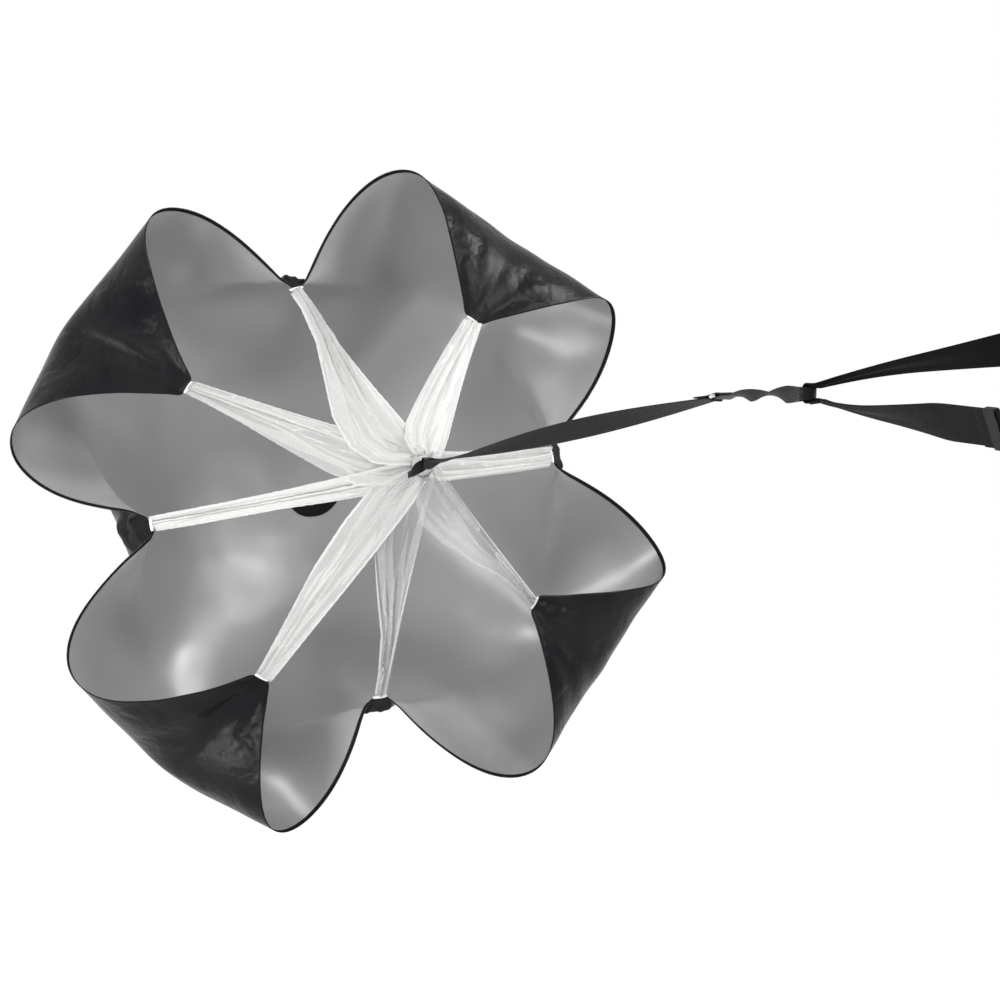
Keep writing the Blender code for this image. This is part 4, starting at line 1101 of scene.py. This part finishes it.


# The thin net lets the grey show through as painted shade, the dense one stands bright as painted
# light.
NETS = {
    "thin": net("mesh_thin_painted_shade", 0.13, 0.45),
    "middle": net("mesh_middle", 0.5, 0.8),
    "dense": net("mesh_dense_painted_light", 0.68, 0.9),
}
TAB_HALF = 0.012
TAB_LONG = 0.007
TAB_THIN_HALF = 0.0015
TAB_AHEAD = 0.0047
BAND_AHEAD = 0.0086
tape = fibres("tab_tape", 0.75, 700, 2, (0.54, 0.54, 0.53), (0.7, 0.7, 0.69), 0.0003)
for line in range(8):
    angle = radians(LINE_ANGLES_DEG[line])
    tangent = Vector((0, -sin(angle), cos(angle)))
    band_start = MOUTH + Vector(line_ends[line])
    end_angle = radians(SHEET_TURN_DEG + 45 * line)
    end_tangent = Vector((0, -sin(end_angle), cos(end_angle)))
    band_end = MOUTH + BAND_ENDS[line]
    spread = BAND_SPREADS[line]
    way = (band_end - band_start).normalized()
    first = band_start + way * BAND_AHEAD
    long = (band_end - first).length
    tilt = Vector((-BAND_TILT if BAND_BLOWN[line] > 0 else BAND_TILT, 0, 0))
    route = []
    across = []
    widths = []
    for k in range(BAND_ROWS + 1):
        share = k / BAND_ROWS
        width = stepped(BAND_STEPS, spread, share)
        side = (mix(tangent, end_tangent, share) + tilt).normalized()
        loose = (width - mix(spread[0], spread[-1], share)) / 2 + BAND_BELLY * sin(pi * share)
        route.append(mix(first, band_end, share) + side * BAND_BLOWN[line] * loose)
        across.append(side)
        widths.append(width)

    def pleat(along, share, line=line, long=long, spread=spread):
        width = stepped(BAND_STEPS, spread, min(along / long, 1))
        leg = BAND_CUT / (2 * BAND_FOLDS)
        deep = sqrt(max(leg**2 - (width / (2 * BAND_FOLDS)) ** 2, 0)) * 0.9
        drift = 0.35 * sin(along * 6 + line * 2.3) * sin(pi * share)
        uneven = 0.08 * sin(2 * pi * share + line * 1.9) + 0.03 * sin(4 * pi * share + line)
        fold = ((share + uneven) * BAND_FOLDS + drift) % 1
        ripple = 0.0007 * sin(along * 260 + share * 9 + line) * sin(along * 41 + share * 17)
        return deep * (abs(2 * fold - 1) - 0.5) + ripple

    lean = BAND_LEAN if line % 3 else -BAND_LEAN
    band = ribbon(f"band_{line + 1}", route, across, widths, 40, pleat, BAND_CUT, lean, line)
    walled(band, NETS[BAND_NETS_AND_PAINTED_SHADE[line]], 0.0005)
    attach(band, "canopy")
    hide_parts(f"mesh_band_{line + 1}")
    f"band_tab_{line + 1}"

    bm = bmesh.new()
    bmesh.ops.create_cone(
        bm, cap_ends=True, segments=24, radius1=TAB_HALF, radius2=TAB_HALF, depth=TAB_LONG
    )
    rim = [edge for edge in bm.edges if any(len(face.verts) > 4 for face in edge.link_faces)]
    bmesh.ops.bevel(bm, geom=rim, offset=0.0008, segments=3, profile=0.5, affect="EDGES", material=-1)
    turn = Matrix((tangent, way.cross(tangent).normalized(), way)).transposed().to_4x4()
    flat = Matrix.Diagonal((1, TAB_THIN_HALF / TAB_HALF, 1, 1))
    at = Matrix.Translation(band_start + way * TAB_AHEAD)
    bmesh.ops.transform(bm, matrix=at @ turn @ flat, verts=bm.verts)
    bmesh.ops.recalc_face_normals(bm, faces=bm.faces)
    for face in bm.faces:
        face.smooth = True
    tab = drawn(f"tab_{line + 1}", bm)
    tab.data.materials.append(tape)
    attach(tab, "canopy")
    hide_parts(f"band_tab_{line + 1}")

# Gather: the eight band ends are drawn into one pleated bundle, and a black strap is folded over
# it. The fold stands off in front as the eye that the tether's loop passes through.
BUNDLE_BACK = -0.044
BUNDLE_FRONT = -0.01
BUNDLE_SHARES = (0, 0.3, 0.7, 1)
BUNDLE_HALF_WIDTHS = (0.0195, 0.0175, 0.015, 0.01)
BUNDLE_HALF_HEIGHTS = (0.0195, 0.017, 0.013, 0.007)
BUNDLE_DRAWN_IN = 0.96
bm = bmesh.new()
bmesh.ops.create_cone(bm, cap_ends=True, segments=96, radius1=1, radius2=1, depth=1)
lengthways = [edge for edge in bm.edges if abs(edge.verts[0].co.z - edge.verts[1].co.z) > 0.5]
bmesh.ops.subdivide_edges(bm, edges=lengthways, cuts=12)
for vert in bm.verts:
    share = vert.co.z + 0.5
    angle = atan2(vert.co.y, vert.co.x)
    ahead = mix(BUNDLE_BACK, BUNDLE_FRONT, share)
    crinkle = 1 + 0.03 * cos(16 * angle + 3 * sin(share * 4)) * (1 - 0.6 * share)
    wide = stepped(BUNDLE_SHARES, BUNDLE_HALF_WIDTHS, share)
    tall = stepped(BUNDLE_SHARES, BUNDLE_HALF_HEIGHTS, share)
    side = wide * crinkle * cos(angle) * BUNDLE_DRAWN_IN
    rise = tall * crinkle * sin(angle) * BUNDLE_DRAWN_IN
    vert.co = GATHER + Vector((ahead, side, rise))
bmesh.ops.recalc_face_normals(bm, faces=bm.faces)
for face in bm.faces:
    face.smooth = len(face.verts) < 5
bundle = drawn("gather_bundle", bm)
pleated = fibres("bundle_mesh", 0.8, 420, 3, (0.3, 0.3, 0.29), (0.44, 0.44, 0.43), 0.0005)
bundle.data.materials.append(pleated)
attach(bundle, "canopy")
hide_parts("band_gather")


def curved(shares, values, share):
    """The value at a share, eased between the listed ones."""
    for k in range(len(shares) - 1):
        if share <= shares[k + 1]:
            part = (share - shares[k]) / (shares[k + 1] - shares[k])
            near = [values[min(max(k + step, 0), len(values) - 1)] for step in (-1, 0, 1, 2)]
            return sum(value * taken for value, taken in zip(near, four_shares(part)))
    return values[-1]


GATHER_LOOP_HALF = 0.019
GATHER_LOOP_REACH = 0.014
GATHER_LOOP_BACK = 0.008
LEAF_ROWS = 32
LEAF_END = Vector((0.026, 0, 0))
LEAF_SHARES = (0, 0.2, 0.5, 0.72, 0.88, 1)
LEAF_RISES = (0.0045, 0.004, 0, -0.0048, -0.0094, -0.0143)
LEAF_WIDTHS = (0.005, 0.006, 0.0135, 0.0165, 0.015, 0.01)
route = []
widths = []
for k in range(LEAF_ROWS + 1):
    turn = pi / 2 - pi * k / LEAF_ROWS
    share = (1 - sin(turn)) / 2
    rise = curved(LEAF_SHARES, LEAF_RISES, share)
    ahead = GATHER_LOOP_REACH * cos(turn) - GATHER_LOOP_BACK
    route.append(GATHER + Vector((ahead, GATHER_LOOP_HALF * sin(turn), rise)))
    widths.append(curved(LEAF_SHARES, LEAF_WIDTHS, share))
route = [route[0] - LEAF_END] + route + [route[-1] - LEAF_END]
widths = [widths[0]] + widths + [widths[-1]]
gather_strap = ribbon("gather_strap", route, [UP] * len(route), widths)
walled(gather_strap, STRAP_BLACK, 0.0015, edge=0.0004)
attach(gather_strap, "canopy")
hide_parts("gather_loop")

# Surroundings: a pale floor a metre below the waist, a white background that the glossy surfaces
# show too, plain even light, and four soft lamps that look into the canopy.


def looking(start):
    """1 for the camera's rays and for reflected and passed rays, and 0 for the light's own."""
    rays = start.add("ShaderNodeLightPath")
    seen = rays
    for name in ("Is Glossy Ray", "Is Transmission Ray"):
        seen = seen.math("MAXIMUM", Finish(start.tree, rays.socket.node.outputs[name]))
    return seen


bm = bmesh.new()
bmesh.ops.create_grid(bm, x_segments=1, y_segments=1, size=14)
bmesh.ops.translate(bm, verts=bm.verts, vec=(-1.3, 0, -1.0))
floor = drawn("floor", bm)
floor_white, start, shader = looks("floor", 0.9, 0.2)
shader.inputs["Base Color"].default_value = (0.85, 0.85, 0.85, 1)
glow = looking(start).blend((0, 0, 0), (0.35, 0.35, 0.35))
start.tree.links.new(glow.socket, shader.inputs["Emission Color"])
shader.inputs["Emission Strength"].default_value = 1
floor.data.materials.append(floor_white)

world = bpy.data.worlds.new("studio")
bpy.context.scene.world = world
world.use_nodes = True
world.node_tree.nodes.clear()
start = Finish(world.node_tree)
lighting = start.add("ShaderNodeBackground", None, {"Color": (1, 1, 1, 1), "Strength": 0.85})
white = start.add("ShaderNodeBackground", None, {"Color": (1, 1, 1, 1), "Strength": 1.0})
both = start.add("ShaderNodeMixShader", None, {0: looking(start), 1: lighting, 2: white})
start.add("ShaderNodeOutputWorld", None, {0: both}, None)


def lamp(name, off, size, watts):
    """A round soft lamp that stands so far off the canopy's mouth and looks at it."""
    made = added(name, bpy.data.lights.new(name, "AREA"))
    made.data.shape = "DISK"
    made.data.size = size
    made.data.energy = watts
    made.location = MOUTH + Vector(off)
    made.rotation_mode = "QUATERNION"
    made.rotation_quaternion = (MOUTH - made.location).to_track_quat("-Z", "Y")


lamp("right_lamp", (0.45, 1.15, 0.9), 0.55, 19)
lamp("left_lamp", (0.8, -1.35, 1.1), 0.55, 16)
lamp("low_left_lamp", (0.6, -1.25, -0.65), 0.55, 16)
lamp("front_lamp", (2.6, 1.3, 0.9), 0.8, 36)
